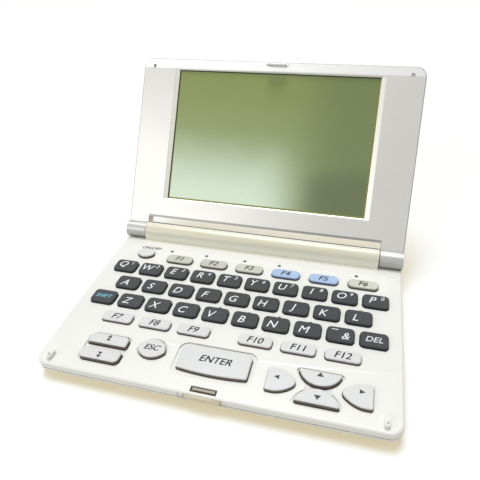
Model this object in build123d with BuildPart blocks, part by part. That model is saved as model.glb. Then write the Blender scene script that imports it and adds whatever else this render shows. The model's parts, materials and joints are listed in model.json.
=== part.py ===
import os
from math import cos, radians, sin, tan

from build123d import *

# An open pocket dictionary: a keyboard base with a lid that carries the display.
# Millimetres. X runs along the hinge, Y to the rear, Z up; Z = 0 is the table.
# The origin is the middle of the open device's footprint, on the table.

# ---- driving dimensions -------------------------------------------------------------
side_margin = 6.15  # outermost letter caps to the side of the base
hinge_from_front = 94.6  # hinge axis, behind the front edge of the base
hinge_above_deck = 3.0
open_angle = 123.6  # how far the lid stands open, from shut
shut_gap = 2.0  # deck to lid face when the lid is shut

# base
upper_depth = 4.0  # deck surface down to the parting line
lower_depth = 5.0  # parting line down to the underside
deck_thickness = 1.6
case_wall = 1.5
floor_thickness = 1.4
front_corner = 5.5
rear_corner = 4.0
front_bow = 0.5  # how far the middle of the front edge bulges forward
rear_ledge = 4.4  # base behind the hinge axis, at the corners
deck_edge_round = 1.1
parting_groove = 0.25
front_fall = 0.8  # how far the palm rest falls to the front edge
crease_from_front = 20.4
crease_step = 0.15  # the palm rest starts this far below the deck
crease_step_run = 0.6
crease_radius = 404.0
toe_height = 6.1  # deck surface down to the lower edge of the front face
toe_run = 9.0  # length of the slope under the front edge
underside_bevel = 1.1

# hinge
barrel_radius = 4.6
barrel_length = 11.2
barrel_gap = 0.5  # lid barrel to base, end to end and round it
cover_radius = 5.2
cover_bulge = 6.6  # battery bulge behind the hinge axis
cover_step = 0.4
cover_step_run = 1.2
pin_radius = 1.2
pin_fit = 0.05
pin_in_barrel = 8.0
pin_in_cover = 4.0
pin_end_gap = 0.3

# lid
lid_length = 95.1  # hinge axis to the free edge
lid_thickness = 6.5
bezel_depth = 2.5
bezel_plate = 1.0
lid_wall = 1.3
lid_corner = 5.0
lid_back_round = 1.8
lid_edge_bevel = 0.4
lid_cover_wall = 1.2
root_start = 2.2  # where the back of the lid meets its barrels, from the hinge axis
root_gap = 0.1
notch_height = 8.0  # hinge axis to the edge of the gap between the barrels
window_width = 107.0
window_low = 19.1  # hinge axis to the near edge of the display window
window_high = 89.7
window_bevel_side = 2.4
window_bevel_end = 0.6
window_bevel_depth = 0.55
lip_start = 90.4  # the free edge is thickened from here on
lip_rise = 1.0
barrel_root = 6.5  # where the back of the lid runs down to its barrels

# display
display_margin = 2.0
display_thickness = 3.4
display_gap = 0.05
display_glass = 1.6
display_frame_margin = 2.0

# keys
key_travel = 0.8
cap_gap = 0.25  # cap to the edge of its opening
cap_chamfer = 0.3
flange_lip = 0.45  # how far a key's flange reaches past its opening
flange_gap = 0.1
flange_thickness = 0.7
cap_height = 1.5
front_cap_height = 1.1
letter_pitch = 13.9
letter_gap = 2.3  # between neighbouring letter caps
letter_rows = ["q w e r t y u i o p", "a s d f g h j k l", "shift z x c v b n m dash delete"]
letter_depth = 8.2
letter_corner = 2.0
letter_row_pitch = 11.86
top_letter_row = 64.5  # front edge to the middle of the top row of letters
function_width = 14.0
function_depth = 5.7
function_corner = 2.4
function_pitch = 18.7
function_row = 75.2
function_middle = 9.65
option_width = 14.4
option_depth = 5.4
option_corner = 1.7
option_pitch = 18.2
option_row = 29.5
option_middle = 0.45
option_group = 32.0  # middle of the row to the middle key of each group of three
power_x = -56.9
power_y = 76.9
power_span = 9.6  # its two curved sides would meet this far apart
power_depth = 6.8
power_end_radius = 2.4
enter_x = 0.55
enter_width = 29.7
enter_near = 9.6
enter_far = 21.4
enter_bow = 1.0
enter_corner = 2.2
back_x = -27.2
back_width = 12.2
back_near = 11.4
back_far = 21.2
page_x = -47.35
page_width = 17.7
page_far = 19.2
page_near = 5.6
page_cap_depth = 5.3
page_corner = 2.2
page_near_corner = 0.4
cursor_x = 42.95
cursor_y = 12.5
cursor_length = 16.9  # flat side of the up and down caps
cursor_far = 7.5  # middle of the cluster to that flat side
cursor_slit = 1.4  # between the two rounded sides
side_cursor_reach = 20.25  # middle of the cluster to the flat side of left and right
side_cursor_length = 10.6
side_cursor_span = 12.0  # from there to where its curved sides would meet
side_cursor_swell = 4.7  # half its width, half way along
side_cursor_nose = 2.5
cursor_corner = 1.0
rocker_gap = 0.35
rocker_drop = 0.7  # rocker plate below the deck, so that it can tilt
rocker_plate = 0.7
rocker_waist = 12.0  # plate between the two caps of a rocker
ridge_length = 8.0
ridge_width = 1.0
ridge_gap = 0.05
page_pocket = 0.95  # floors of the shallow pockets, below the deck
page_pocket_margin = 1.0
cursor_pocket = 0.95
cursor_pocket_margin = 1.1
cursor_pocket_waist = 10.5
enter_pocket = 0.75
enter_pocket_margin = 2.1
back_pocket = 0.6
power_pocket = 0.3
small_pocket_margin = 0.8

# latch
slot_x = 0.15
slot_width = 10.7
slot_near = 0.7
slot_far = 3.4
hook_width = 10.0
hook_reach = 3.5  # hook tip, proud of the lid's face
hook_web = 0.7
hook_barb = 0.55
hook_barb_height = 0.7
hook_gap = 0.25  # hook to the front side of its slot
latch_width = 15.4
latch_height = 2.9
latch_top = 1.5  # deck surface down to the button
latch_proud = 0.6  # button, proud of the bowed front
latch_travel = 0.65
latch_gap = 0.15
latch_face = 1.35  # button's front skin, front to back, in the middle
latch_floor = 1.4  # thickness of the slide behind it
latch_floor_width = 9.0
latch_rear = 6.0
latch_wing_width = 17.6
latch_lip = 0.45
latch_lip_width = 9.2
latch_lip_top = 0.85  # below the deck
latch_scoop = 2.3  # finger recess past each end of the button
latch_scoop_depth = 0.35

# alignment bumps at the front corners, and their holes in the lid
bump_inset = 6.3  # from the side of the base
bump_y = 4.2
bump_width = 2.2
bump_length = 4.6
bump_corner = 1.0
bump_height = 0.9
bump_pin_radius = 0.45
bump_pin_height = 2.1
bump_pin_y = 3.4
bump_hole_radius = 1.1
bump_hole_depth = 0.9

# inside the base
mat_clearance = 0.5  # pressed key to the mat's skin
mat_thickness = 0.8
board_thickness = 1.0
board_side_gap = 1.2
board_near = 7.0
board_far = 87.0
mat_far = 82.0
cell_radius = 5.25
cell_length = 43.3
cell_nub_radius = 1.9
cell_nub_height = 1.2
cell_gap = 0.2
cell_spacing = 0.6
contact_room = 3.0
bay_wall = 1.0
door_width = 104.0
door_near = 83.5
door_thickness = 1.1
door_gap = 0.2
door_flange = 1.4
door_flange_thickness = 0.6
door_flange_inset = 2.0  # how far each flange reaches in over the door's plate
door_flange_far = 2.7  # flange end, before the rear of the base
door_edge_round = 0.9
door_grip_pitch = 1.8
door_grip_depth = 0.35
door_grip_width = 0.8
door_grip_length = 14.0
door_grip_count = 5
screw_boss = 4.8
screw_hole_radius = 0.85
screw_head_radius = 2.0
screw_head_depth = 1.5
screw_clearance = 0.3
screw_hole_sides = 12
screw_head_sides = 16
boss_gap = 0.2
board_seat = 1.0  # ring of each lower boss under the board
chip_height = 1.3
chip_size = 16.0
chip_pitch = 29.0
chip_count = 3
chip_row_x = -9.0
chip_row_y = 56.0
driver_width = 9.0
driver_length = 22.0
driver_x = 44.0
driver_y = 60.0
socket_width = 22.0
socket_depth = 7.0
socket_x = 40.0
socket_y = 25.0
screw_inset = 5.5  # from the side of the base
screw_near_y = 27.5
screw_far_y = 82.0

# feet
foot_side = 5.5  # outer end of each foot to the side of the base
foot_clearance = 1.6  # inner end to the battery door
foot_depth = 5.0
foot_corner = 1.2
foot_gap = 0.2
foot_height = 0.6  # proud of the underside
foot_pocket = 0.3
foot_near = 16.0
foot_far = 91.0

# ---- places worked out from them -----------------------------------------------------
letter_width = letter_pitch - letter_gap
longest_row = max(len(row.split()) for row in letter_rows)
body_width = (longest_row - 1) * letter_pitch + letter_width + 2 * side_margin
half_width = body_width / 2
bump_x = half_width - bump_inset
screw_side_x = half_width - screw_inset
foot_inner = door_width / 2 + door_flange + foot_clearance
foot_width = half_width - foot_side - foot_inner
foot_x = foot_inner + foot_width / 2
case_depth = upper_depth + lower_depth
deck_z = case_depth + foot_height
lean = radians(open_angle - 90)
lid_face = hinge_above_deck - shut_gap  # lid face, in front of the hinge axis
lid_back = lid_face - lid_thickness
lid_parting = lid_face - bezel_depth
lid_reach = (
    (lid_length - lid_back_round) * sin(lean)
    - (lid_back + lid_back_round) * cos(lean)
    + lid_back_round
)
front_reach = front_bow + latch_proud
front_y = front_reach - (front_reach + hinge_from_front + lid_reach) / 2
rear_edge = hinge_from_front + rear_ledge
bulge_rear = hinge_from_front + cover_bulge
cover_end = half_width - barrel_length - barrel_gap
barrel_inner = half_width - barrel_length
trough_radius = barrel_radius + barrel_gap
floor_z = -case_depth + floor_thickness
hollow_far = hinge_from_front - trough_radius - case_wall
flange_top = -deck_thickness - flange_gap
mat_top = flange_top - flange_thickness - key_travel - mat_clearance
board_top = mat_top - mat_thickness
board_bottom = board_top - board_thickness
cell_z = -case_depth + door_thickness + cell_gap + cell_radius
bay_radius = cell_radius + cell_gap
bay_half = cell_length + cell_nub_height + cell_spacing / 2 + contact_room
cursor_cap_depth = cursor_far - cursor_slit / 2
lip_slope = lip_rise / (lid_length - lip_start)

# Sketches on these planes use millimetres from the front edge and from the deck, or
# millimetres from the hinge axis and from it towards the lid's face.
deck = Plane(origin=(0, front_y, deck_z))
base_side = Plane(origin=(0, front_y, deck_z), x_dir=(0, 1, 0), z_dir=(1, 0, 0))
hinge_point = Vector(0, front_y + hinge_from_front, deck_z + hinge_above_deck)
lid_up = Vector(0, sin(lean), cos(lean))
lid_front = Vector(0, -cos(lean), sin(lean))
lid = Plane(origin=hinge_point, x_dir=(1, 0, 0), z_dir=lid_front)
lid_side = Plane(origin=hinge_point, x_dir=lid_up, z_dir=(1, 0, 0))

screw_places = [
    (-screw_side_x, screw_near_y),
    (screw_side_x, screw_near_y),
    (-screw_side_x, screw_far_y),
    (screw_side_x, screw_far_y),
]
foot_places = [(x, y) for x in (-foot_x, foot_x) for y in (foot_near, foot_far)]

os.makedirs("parts", exist_ok=True)


def save(piece, name):
    piece.part.label = name
    export_step(piece.part, f"parts/{name}.step")


# ---- outlines of the key caps, each about its own middle -----------------------------
def soft_rectangle(width, depth, corner):
    """A rectangle whose corners turn in two flats, round an arc of the given radius."""
    cut = corner * tan(radians(15))
    points = []
    for side, end in ((1, 1), (-1, 1), (-1, -1), (1, -1)):
        x, y = side * width / 2, end * depth / 2
        turn = [
            (x, y - end * (corner - cut)),
            (x - side * cut, y - end * cut),
            (x - side * (corner - cut), y),
        ]
        points += turn[:: side * end]
    with BuildSketch() as outline:
        Polygon(*points, align=None)
    return outline.sketch


def power_cap():
    half = power_span / 2
    with BuildSketch() as outline:
        with BuildLine():
            ThreePointArc((-half, 0), (0, -power_depth / 2), (half, 0))
            ThreePointArc((half, 0), (0, power_depth / 2), (-half, 0))
        make_face()
        fillet(outline.vertices(), power_end_radius)
    return outline.sketch


def enter_cap():
    # soft corners, with the near side bowed out towards the user
    depth = enter_far - enter_near
    bow_radius = enter_width**2 / (8 * enter_bow) + enter_bow / 2
    with BuildSketch() as outline:
        with Locations((0, (depth - enter_bow) / 2)):
            add(soft_rectangle(enter_width, depth + enter_bow, enter_corner))
        with Locations((0, bow_radius - enter_bow)):
            Circle(bow_radius, mode=Mode.INTERSECT)
    return outline.sketch


def back_cap():
    # a flat far side, and a half round near side
    radius = back_width / 2
    depth = back_far - back_near
    with BuildSketch() as outline:
        with BuildLine():
            ThreePointArc((-radius, depth - radius), (0, 0), (radius, depth - radius))
            ThreePointArc((radius, depth - radius), (0, depth), (-radius, depth - radius))
        make_face()
    return outline.sketch


def page_cap():
    # rounded on its far side only, where it meets the rim of the shared pocket
    with BuildSketch() as outline:
        add(soft_rectangle(page_width, page_cap_depth, page_corner))
        with Locations((0, -page_cap_depth / 2)):
            Rectangle(page_width, page_corner, align=(Align.CENTER, Align.MIN))
        near_corners = outline.vertices().group_by(Axis.Y)[0]
        chamfer(near_corners, page_near_corner)
    return outline.sketch


def cursor_cap(flat_length, depth):
    # flat on its far side, round on its near side, about the middle of the flat side
    half = flat_length / 2
    with BuildSketch() as outline:
        with BuildLine():
            Line((half, 0), (-half, 0))
            ThreePointArc((-half, 0), (0, -depth), (half, 0))
        make_face()
        with Locations((0, -depth)):
            add(soft_rectangle(flat_length, 2 * depth, cursor_corner), mode=Mode.INTERSECT)
    return outline.sketch


def side_cursor_cap():
    # the left key: flat on its left, drawn in to a rounded nose on its right
    half = side_cursor_length / 2
    middle = side_cursor_span / 2
    with BuildSketch() as outline:
        with BuildLine():
            Line((0, -half), (0, half))
            ThreePointArc((0, half), (middle, side_cursor_swell), (side_cursor_span, 0))
            ThreePointArc((side_cursor_span, 0), (middle, -side_cursor_swell), (0, -half))
        make_face()
        fillet(outline.vertices().sort_by(Axis.X)[-1], side_cursor_nose)
        with Locations((side_cursor_span, 0)):
            add(
                soft_rectangle(2 * side_cursor_span, 2 * half, cursor_corner),
                mode=Mode.INTERSECT,
            )
    return outline.sketch


letter_cap = soft_rectangle(letter_width, letter_depth, letter_corner)
function_cap = soft_rectangle(function_width, function_depth, function_corner)
option_cap = soft_rectangle(option_width, option_depth, option_corner)
page_up_cap = page_cap()
up_cap = cursor_cap(cursor_length, cursor_cap_depth)
left_cap = side_cursor_cap()
page_y = (page_far + page_near) / 2
page_offset = (page_far - page_near - page_cap_depth) / 2


def centred_row(names, middle, pitch, y):
    first = middle - pitch * (len(names) - 1) / 2
    return [(name, first + pitch * i, y) for i, name in enumerate(names)]


# Each key: its name, where its outline stands on the deck, the outline, the cap's height.
keys = []
for row, letters in enumerate(letter_rows):
    y = top_letter_row - row * letter_row_pitch
    for name, x, y in centred_row(letters.split(), 0, letter_pitch, y):
        keys.append((f"key_{name}", Pos(x, y), letter_cap, cap_height))
for name, x, y in centred_row("123456", function_middle, function_pitch, function_row):
    keys.append((f"key_function_{name}", Pos(x, y), function_cap, cap_height))
for names, side in (("123", -1), ("456", 1)):
    group_x = option_middle + side * option_group
    for name, x, y in centred_row(names, group_x, option_pitch, option_row):
        keys.append((f"key_option_{name}", Pos(x, y), option_cap, cap_height))
keys.append(("key_power", Pos(power_x, power_y), power_cap(), cap_height))
keys.append(("key_enter", Pos(enter_x, enter_near), enter_cap(), front_cap_height))
keys.append(("key_back", Pos(back_x, back_near), back_cap(), front_cap_height))
left_place = Pos(cursor_x - side_cursor_reach, cursor_y)
right_place = Pos(cursor_x + side_cursor_reach, cursor_y) * Rot(0, 0, 180)
keys.append(("key_left", left_place, left_cap, front_cap_height))
keys.append(("key_right", right_place, left_cap, front_cap_height))

# Each rocker: its name, its pivot on the deck, its outline, and how far the cap's
# outline stands from the pivot. Its second cap is the first turned half round.
rockers = [
    ("page_rocker", Pos(page_x, page_y), page_up_cap, page_offset),
    ("cursor_rocker", Pos(cursor_x, cursor_y), up_cap, cursor_far),
]


def rocker_caps(place, outline, reach):
    return [place * Rot(0, 0, turn) * Pos(0, reach) * outline for turn in (0, 180)]


def grown(outline, amount):
    with BuildSketch() as larger:
        add(outline)
        offset(amount=amount, kind=Kind.INTERSECTION)
    return larger.sketch


def square_flange(outline):
    """The rectangle round a cap, which reaches past its opening on every side."""
    box = outline.bounding_box()
    reach = 2 * (cap_gap + flange_lip)
    with BuildSketch() as flange:
        with Locations(box.center()):
            Rectangle(box.size.X + reach, box.size.Y + reach)
    return flange.sketch


# ---- the outline that both halves of the base share ----------------------------------
def base_outline(inset):
    """The base from above: rounded corners, a bowed front, the bulge behind the hinge."""
    with BuildSketch() as outline:
        with BuildLine():
            ThreePointArc((-half_width, 0), (0, -front_bow), (half_width, 0))
            Polyline(
                (half_width, 0),
                (half_width, rear_edge),
                (-half_width, rear_edge),
                (-half_width, 0),
            )
        make_face()
        fillet(outline.vertices().group_by(Axis.Y)[0], front_corner)
        fillet(outline.vertices().group_by(Axis.Y)[-1], rear_corner)
        with Locations((0, (hinge_from_front + bulge_rear) / 2)):
            Rectangle(2 * cover_end, cover_bulge)
        if inset:
            offset(amount=-inset, kind=Kind.INTERSECTION)
    return outline.sketch


def latch_opening():
    """The latch button's way through the front wall, and the finger scoop beside it."""
    scoop_half = latch_width / 2 + latch_scoop
    ends_y = latch_scoop_depth - front_bow * (1 - (scoop_half / half_width) ** 2)
    with BuildSketch() as outline:
        Rectangle(latch_width + 2 * latch_gap, 4 * case_wall)
        with BuildLine():
            ThreePointArc(
                (-scoop_half, ends_y),
                (0, latch_scoop_depth - front_bow),
                (scoop_half, ends_y),
            )
            Polyline(
                (scoop_half, ends_y),
                (scoop_half, -2 * front_reach),
                (-scoop_half, -2 * front_reach),
                (-scoop_half, ends_y),
            )
        make_face()
    return outline.sketch


# ---- upper case: the deck, its key openings and the hinge cover ----------------------
with BuildPart() as upper_case:
    with BuildSketch(deck):
        add(base_outline(0))
    extrude(amount=-upper_depth)
    # the troughs that the lid's barrels turn in, open to the rear
    for trough_start in (-half_width - barrel_gap, cover_end):
        with BuildSketch(base_side.offset(trough_start)):
            with Locations((hinge_from_front, hinge_above_deck)):
                Circle(trough_radius)
                Rectangle(
                    2 * rear_ledge, 2 * trough_radius, align=(Align.MIN, Align.CENTER)
                )
        extrude(amount=barrel_length + 2 * barrel_gap, mode=Mode.SUBTRACT)
    # the palm rest falls to the front from a wide arc
    with BuildSketch(base_side):
        fall_run = crease_from_front + 2 * front_corner
        fall_slope = (front_fall - crease_step) / (crease_from_front - crease_step_run)
        fall_end = -crease_step - fall_slope * (fall_run - crease_step_run)
        Polygon(
            (crease_from_front, 0),
            (crease_from_front - crease_step_run, -crease_step),
            (crease_from_front - fall_run, fall_end),
            (crease_from_front - fall_run, front_fall),
            (crease_from_front, front_fall),
            align=None,
        )
    crease_middle = front_y + crease_from_front + crease_radius
    revolve(axis=Axis((0, crease_middle, deck_z), (0, 0, 1)), mode=Mode.SUBTRACT)
    rim = upper_case.edges().filter_by(lambda e: e.center().Z > deck_z - 2 * front_fall)
    rim = rim.filter_by(
        lambda e: abs(e.center().X) > half_width - front_corner
        or e.center().Y < front_y
    )
    fillet(rim.filter_by(lambda e: e.center().Y < hinge_point.Y - trough_radius), deck_edge_round)
    chamfer(upper_case.faces().sort_by(Axis.Z)[0].edges(), parting_groove)
    # the half-round cover between the lid's barrels, with a low step at its foot
    with BuildSketch(base_side.offset(-cover_end)):
        with BuildLine():
            cover_front = hinge_from_front - cover_radius
            step_y = cover_front - cover_step_run
            Polyline(
                (bulge_rear, 0),
                (bulge_rear, -upper_depth / 2),
                (step_y, -upper_depth / 2),
                (step_y, 0),
                (step_y + cover_step, cover_step),
                (cover_front, cover_step),
                (cover_front, hinge_above_deck),
            )
            ThreePointArc(
                (cover_front, hinge_above_deck),
                (
                    hinge_from_front - cover_radius * cos(radians(45)),
                    hinge_above_deck + cover_radius * sin(radians(45)),
                ),
                (hinge_from_front, hinge_above_deck + cover_radius),
            )
            EllipticalCenterArc(
                (hinge_from_front, 0),
                cover_bulge,
                hinge_above_deck + cover_radius,
                start_angle=0,
                arc_size=90,
            )
        make_face()
    extrude(amount=2 * cover_end)
    # the hollow under the deck, in front of the hinge
    with BuildSketch(deck.offset(-upper_depth)):
        add(base_outline(case_wall))
        with Locations((0, hollow_far)):
            Rectangle(
                2 * body_width,
                body_width,
                align=(Align.CENTER, Align.MIN),
                mode=Mode.SUBTRACT,
            )
    extrude(amount=upper_depth - deck_thickness, mode=Mode.SUBTRACT)
    # the roof of the battery bay
    with BuildSketch(base_side.offset(-bay_half)):
        with Locations((hinge_from_front, cell_z)):
            Circle(bay_radius)
    extrude(amount=2 * bay_half, mode=Mode.SUBTRACT)
    for hole_start in (-cover_end, cover_end - pin_in_cover - pin_end_gap):
        with BuildSketch(base_side.offset(hole_start)):
            with Locations((hinge_from_front, hinge_above_deck)):
                Circle(pin_radius + pin_fit)
        extrude(amount=pin_in_cover + pin_end_gap, mode=Mode.SUBTRACT)
    # shallow pockets round the front keys
    with BuildSketch(deck.offset(-page_pocket)):
        with Locations((page_x, page_y)):
            add(
                soft_rectangle(
                    page_width + 2 * page_pocket_margin,
                    page_far - page_near + 2 * page_pocket_margin,
                    page_corner + page_pocket_margin,
                )
            )
    extrude(amount=page_pocket, mode=Mode.SUBTRACT)
    with BuildSketch(deck.offset(-cursor_pocket)):
        for cap in rocker_caps(*rockers[1][1:]):
            add(grown(cap, cursor_pocket_margin))
        with Locations((cursor_x, cursor_y)):
            Rectangle(cursor_pocket_waist, cursor_far)
    extrude(amount=cursor_pocket, mode=Mode.SUBTRACT)
    for name, pocket, margin in (
        ("key_enter", enter_pocket, enter_pocket_margin),
        ("key_back", back_pocket, small_pocket_margin),
        ("key_power", power_pocket, small_pocket_margin),
    ):
        place, outline = next(key[1:3] for key in keys if key[0] == name)
        with BuildSketch(deck.offset(-pocket)):
            add(place * grown(outline, margin))
        extrude(amount=pocket, mode=Mode.SUBTRACT)
    # the key openings
    with BuildSketch(deck.offset(-deck_thickness)):
        for name, place, outline, height in keys:
            add(place * grown(outline, cap_gap))
        for name, place, outline, reach in rockers:
            for cap in rocker_caps(place, outline, reach):
                add(grown(cap, rocker_gap))
        with Locations((slot_x, (slot_near + slot_far) / 2)):
            Rectangle(slot_width, slot_far - slot_near)
    extrude(amount=deck_thickness, mode=Mode.SUBTRACT)
    with BuildSketch(deck.offset(-upper_depth)):
        add(latch_opening())
    extrude(amount=upper_depth - latch_top + latch_gap, mode=Mode.SUBTRACT)
    # bosses for the case screws
    with BuildSketch(deck.offset(board_bottom + pin_fit)):
        with Locations(*screw_places):
            Rectangle(screw_boss, screw_boss)
            RegularPolygon(screw_hole_radius, screw_hole_sides, mode=Mode.SUBTRACT)
    extrude(amount=-deck_thickness - board_bottom - pin_fit)
    # alignment bumps
    for side in (-1, 1):
        with BuildSketch(deck.offset(-2 * front_fall)):
            with Locations((side * bump_x, bump_y)):
                add(soft_rectangle(bump_width, bump_length, bump_corner))
        extrude(amount=bump_height + 2 * front_fall)
        with BuildSketch(deck.offset(bump_height / 2)):
            with Locations((side * bump_x, bump_pin_y)):
                RegularPolygon(bump_pin_radius, 8)
        extrude(amount=bump_pin_height - bump_height / 2)
save(upper_case, "upper_case")

# ---- lower case: tray, toe, battery bay and screw bosses -----------------------------
toe_slope = (case_depth - toe_height) / toe_run
door_top = -case_depth + door_thickness
rail_room = door_width / 2 + door_flange + door_gap
rail_top = door_top + door_flange_thickness + door_gap
step_z = rail_top + bay_wall
step_y = door_near - door_gap - case_wall
room_near = hinge_from_front - bay_radius
room_far = rear_edge - case_wall

with BuildPart() as tray_room:
    with BuildSketch(deck.offset(-case_depth)):
        add(base_outline(case_wall))
    extrude(amount=case_depth)
    with BuildSketch(base_side.offset(-body_width)):
        Polygon(
            (-toe_run, floor_z + 2 * toe_run * toe_slope),
            (toe_run, floor_z),
            (step_y, floor_z),
            (step_y, step_z),
            (hollow_far, step_z),
            (hollow_far, 0),
            (-toe_run, 0),
            align=None,
        )
    extrude(amount=2 * body_width, mode=Mode.INTERSECT)

with BuildPart() as lower_case:
    with BuildSketch(deck.offset(-case_depth)):
        add(base_outline(0))
    extrude(amount=lower_depth)
    with BuildSketch(base_side.offset(-body_width)):
        Polygon(
            (toe_run, -case_depth),
            (-toe_run, -case_depth + 2 * toe_run * toe_slope),
            (-toe_run, -case_depth),
            align=None,
        )
    extrude(amount=2 * body_width, mode=Mode.SUBTRACT)
    # the rim of the underside and of the toe, without the crease between them
    underside = lower_case.faces().filter_by(lambda f: f.normal_at().Z < -0.5)
    crease_y = front_y + toe_run
    chamfer(
        underside.edges().filter_by(lambda e: abs(e.center().Y - crease_y) > pin_fit),
        underside_bevel,
    )
    chamfer(lower_case.faces().sort_by(Axis.Z)[-1].edges(), parting_groove)
    add(tray_room.part, mode=Mode.SUBTRACT)
    # hollow rear corners, under the troughs of the hinge
    with BuildSketch(deck.offset(-upper_depth)):
        for side in (-1, 1):
            room_inner = rail_room + bay_wall
            room_outer = half_width - case_wall
            with Locations(
                (side * (room_inner + room_outer) / 2, (room_near + room_far) / 2)
            ):
                Rectangle(room_outer - room_inner, room_far - room_near)
    extrude(amount=floor_z + upper_depth, mode=Mode.SUBTRACT)
    # the battery bay, then the door's seat and the rails of its flanges, open to the rear
    with BuildSketch(deck.offset(-case_depth)):
        with Locations((0, hinge_from_front)):
            Rectangle(2 * bay_half, 2 * bay_radius)
    extrude(amount=lower_depth, mode=Mode.SUBTRACT)
    with BuildSketch(deck.offset(-case_depth)):
        with Locations((0, door_near - door_gap)):
            Rectangle(
                door_width + 2 * door_gap, door_near, align=(Align.CENTER, Align.MIN)
            )
    extrude(amount=door_thickness + door_gap / 2, mode=Mode.SUBTRACT)
    rail_inner = door_width / 2 - door_flange_inset - door_gap
    with BuildSketch(deck.offset(door_top - pin_fit)):
        for side in (-1, 1):
            with Locations(
                (side * (rail_inner + rail_room) / 2, door_near - door_gap)
            ):
                Rectangle(
                    rail_room - rail_inner, door_near, align=(Align.CENTER, Align.MIN)
                )
    extrude(amount=rail_top - door_top + pin_fit, mode=Mode.SUBTRACT)
    with BuildSketch(deck.offset(-latch_top - latch_height - latch_gap)):
        add(latch_opening())
    extrude(amount=latch_height, mode=Mode.SUBTRACT)
    # screw bosses, counterbored from below
    with BuildSketch(deck.offset(floor_z)):
        with Locations(*screw_places):
            Rectangle(screw_boss + 2 * board_seat, screw_boss + 2 * board_seat)
    extrude(amount=board_bottom - floor_z)
    with BuildSketch(deck.offset(-case_depth)):
        with Locations(*screw_places):
            RegularPolygon(screw_hole_radius + screw_clearance, screw_hole_sides)
    extrude(amount=case_depth + board_bottom, mode=Mode.SUBTRACT)
    with BuildSketch(deck.offset(-case_depth)):
        with Locations(*screw_places):
            RegularPolygon(screw_head_radius, screw_head_sides)
    extrude(amount=screw_head_depth, mode=Mode.SUBTRACT)
    # seats for the feet
    with BuildSketch(deck.offset(-case_depth)):
        with Locations(*foot_places):
            Rectangle(foot_width + foot_gap, foot_depth + foot_gap)
    extrude(amount=foot_pocket, mode=Mode.SUBTRACT)
save(lower_case, "lower_case")

# ---- battery door, sliding to the rear in its rails ----------------------------------
with BuildPart() as battery_door:
    with BuildSketch(deck.offset(-case_depth)):
        with Locations((0, (door_near + bulge_rear) / 2)):
            Rectangle(door_width, bulge_rear - door_near)
    extrude(amount=door_thickness)
    lower_edges = battery_door.faces().sort_by(Axis.Z)[0].edges()
    fillet(lower_edges.sort_by(Axis.Y)[-1], door_edge_round)
    flange_inner = door_width / 2 - door_flange_inset
    flange_outer = door_width / 2 + door_flange
    flange_far = bulge_rear - door_flange_far
    with BuildSketch(deck.offset(door_top)):
        for side in (-1, 1):
            with Locations(
                (side * (flange_inner + flange_outer) / 2, (door_near + flange_far) / 2)
            ):
                Rectangle(flange_outer - flange_inner, flange_far - door_near)
    extrude(amount=door_flange_thickness)
    grip_y = door_near + door_grip_pitch * (door_grip_count + 1) / 2
    with BuildSketch(deck.offset(-case_depth)):
        with Locations((0, grip_y)):
            with GridLocations(0, door_grip_pitch, 1, door_grip_count):
                Rectangle(door_grip_length, door_grip_width)
    extrude(amount=door_grip_depth, mode=Mode.SUBTRACT)
save(battery_door, "battery_door")

# ---- two cells in line, under the hinge cover ----------------------------------------
with BuildPart() as battery_cells:
    cell_start = bay_half - contact_room
    for start in (-cell_start, cell_spacing / 2):
        with BuildSketch(base_side.offset(start)):
            with Locations((hinge_from_front, cell_z)):
                Circle(cell_radius)
        extrude(amount=cell_length)
        with BuildSketch(base_side.offset(start + cell_length)):
            with Locations((hinge_from_front, cell_z)):
                Circle(cell_nub_radius)
        extrude(amount=cell_nub_height)
save(battery_cells, "battery_cells")

# ---- main board and the rubber key mat on top of it ----------------------------------
board_half = half_width - case_wall - board_side_gap
boss_notch = screw_boss + 2 * boss_gap
with BuildPart() as main_board:
    with BuildSketch(deck.offset(board_bottom)):
        with Locations((0, (board_near + board_far) / 2)):
            Rectangle(2 * board_half, board_far - board_near)
        with Locations(*screw_places):
            Rectangle(boss_notch, boss_notch, mode=Mode.SUBTRACT)
    extrude(amount=board_thickness)
    with BuildSketch(deck.offset(board_bottom)):
        with Locations((chip_row_x, chip_row_y)):
            with GridLocations(chip_pitch, 0, chip_count, 1):
                Rectangle(chip_size, chip_size)
        with Locations((driver_x, driver_y)):
            Rectangle(driver_width, driver_length)
        with Locations((-socket_x, socket_y), (socket_x, socket_y)):
            Rectangle(socket_width, socket_depth)
    extrude(amount=-chip_height)
save(main_board, "main_board")

with BuildPart() as key_mat:
    with BuildSketch(deck.offset(board_top)):
        with Locations((0, (board_near + mat_far) / 2)):
            Rectangle(2 * board_half, mat_far - board_near)
        with Locations(*screw_places):
            Rectangle(boss_notch, boss_notch, mode=Mode.SUBTRACT)
    extrude(amount=mat_thickness)
save(key_mat, "key_mat")

# ---- feet -----------------------------------------------------------------------------
with BuildPart() as rubber_feet:
    with BuildSketch(deck.offset(-case_depth - foot_height)):
        for x, y in foot_places:
            add(Pos(x, y) * soft_rectangle(foot_width, foot_depth, foot_corner))
    extrude(amount=foot_height + foot_pocket)
save(rubber_feet, "rubber_feet")


# ---- keys: a cap through its opening, on a flange that stops under the deck ----------
def make_key(name, place, outline, height, flange):
    with BuildPart() as key:
        with BuildSketch(deck.offset(flange_top - flange_thickness)):
            add(place * flange)
        extrude(amount=flange_thickness)
        with BuildSketch(deck.offset(flange_top)):
            add(place * outline)
        extrude(amount=height - flange_top)
        chamfer(key.faces().sort_by(Axis.Z)[-1].edges(), cap_chamfer)
    save(key, name)


for name, place, outline, height in keys:
    if name in ("key_left", "key_right"):
        flange = grown(outline, cap_gap + flange_lip)
    else:
        flange = square_flange(outline)
    make_key(name, place, outline, height, flange)


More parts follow.
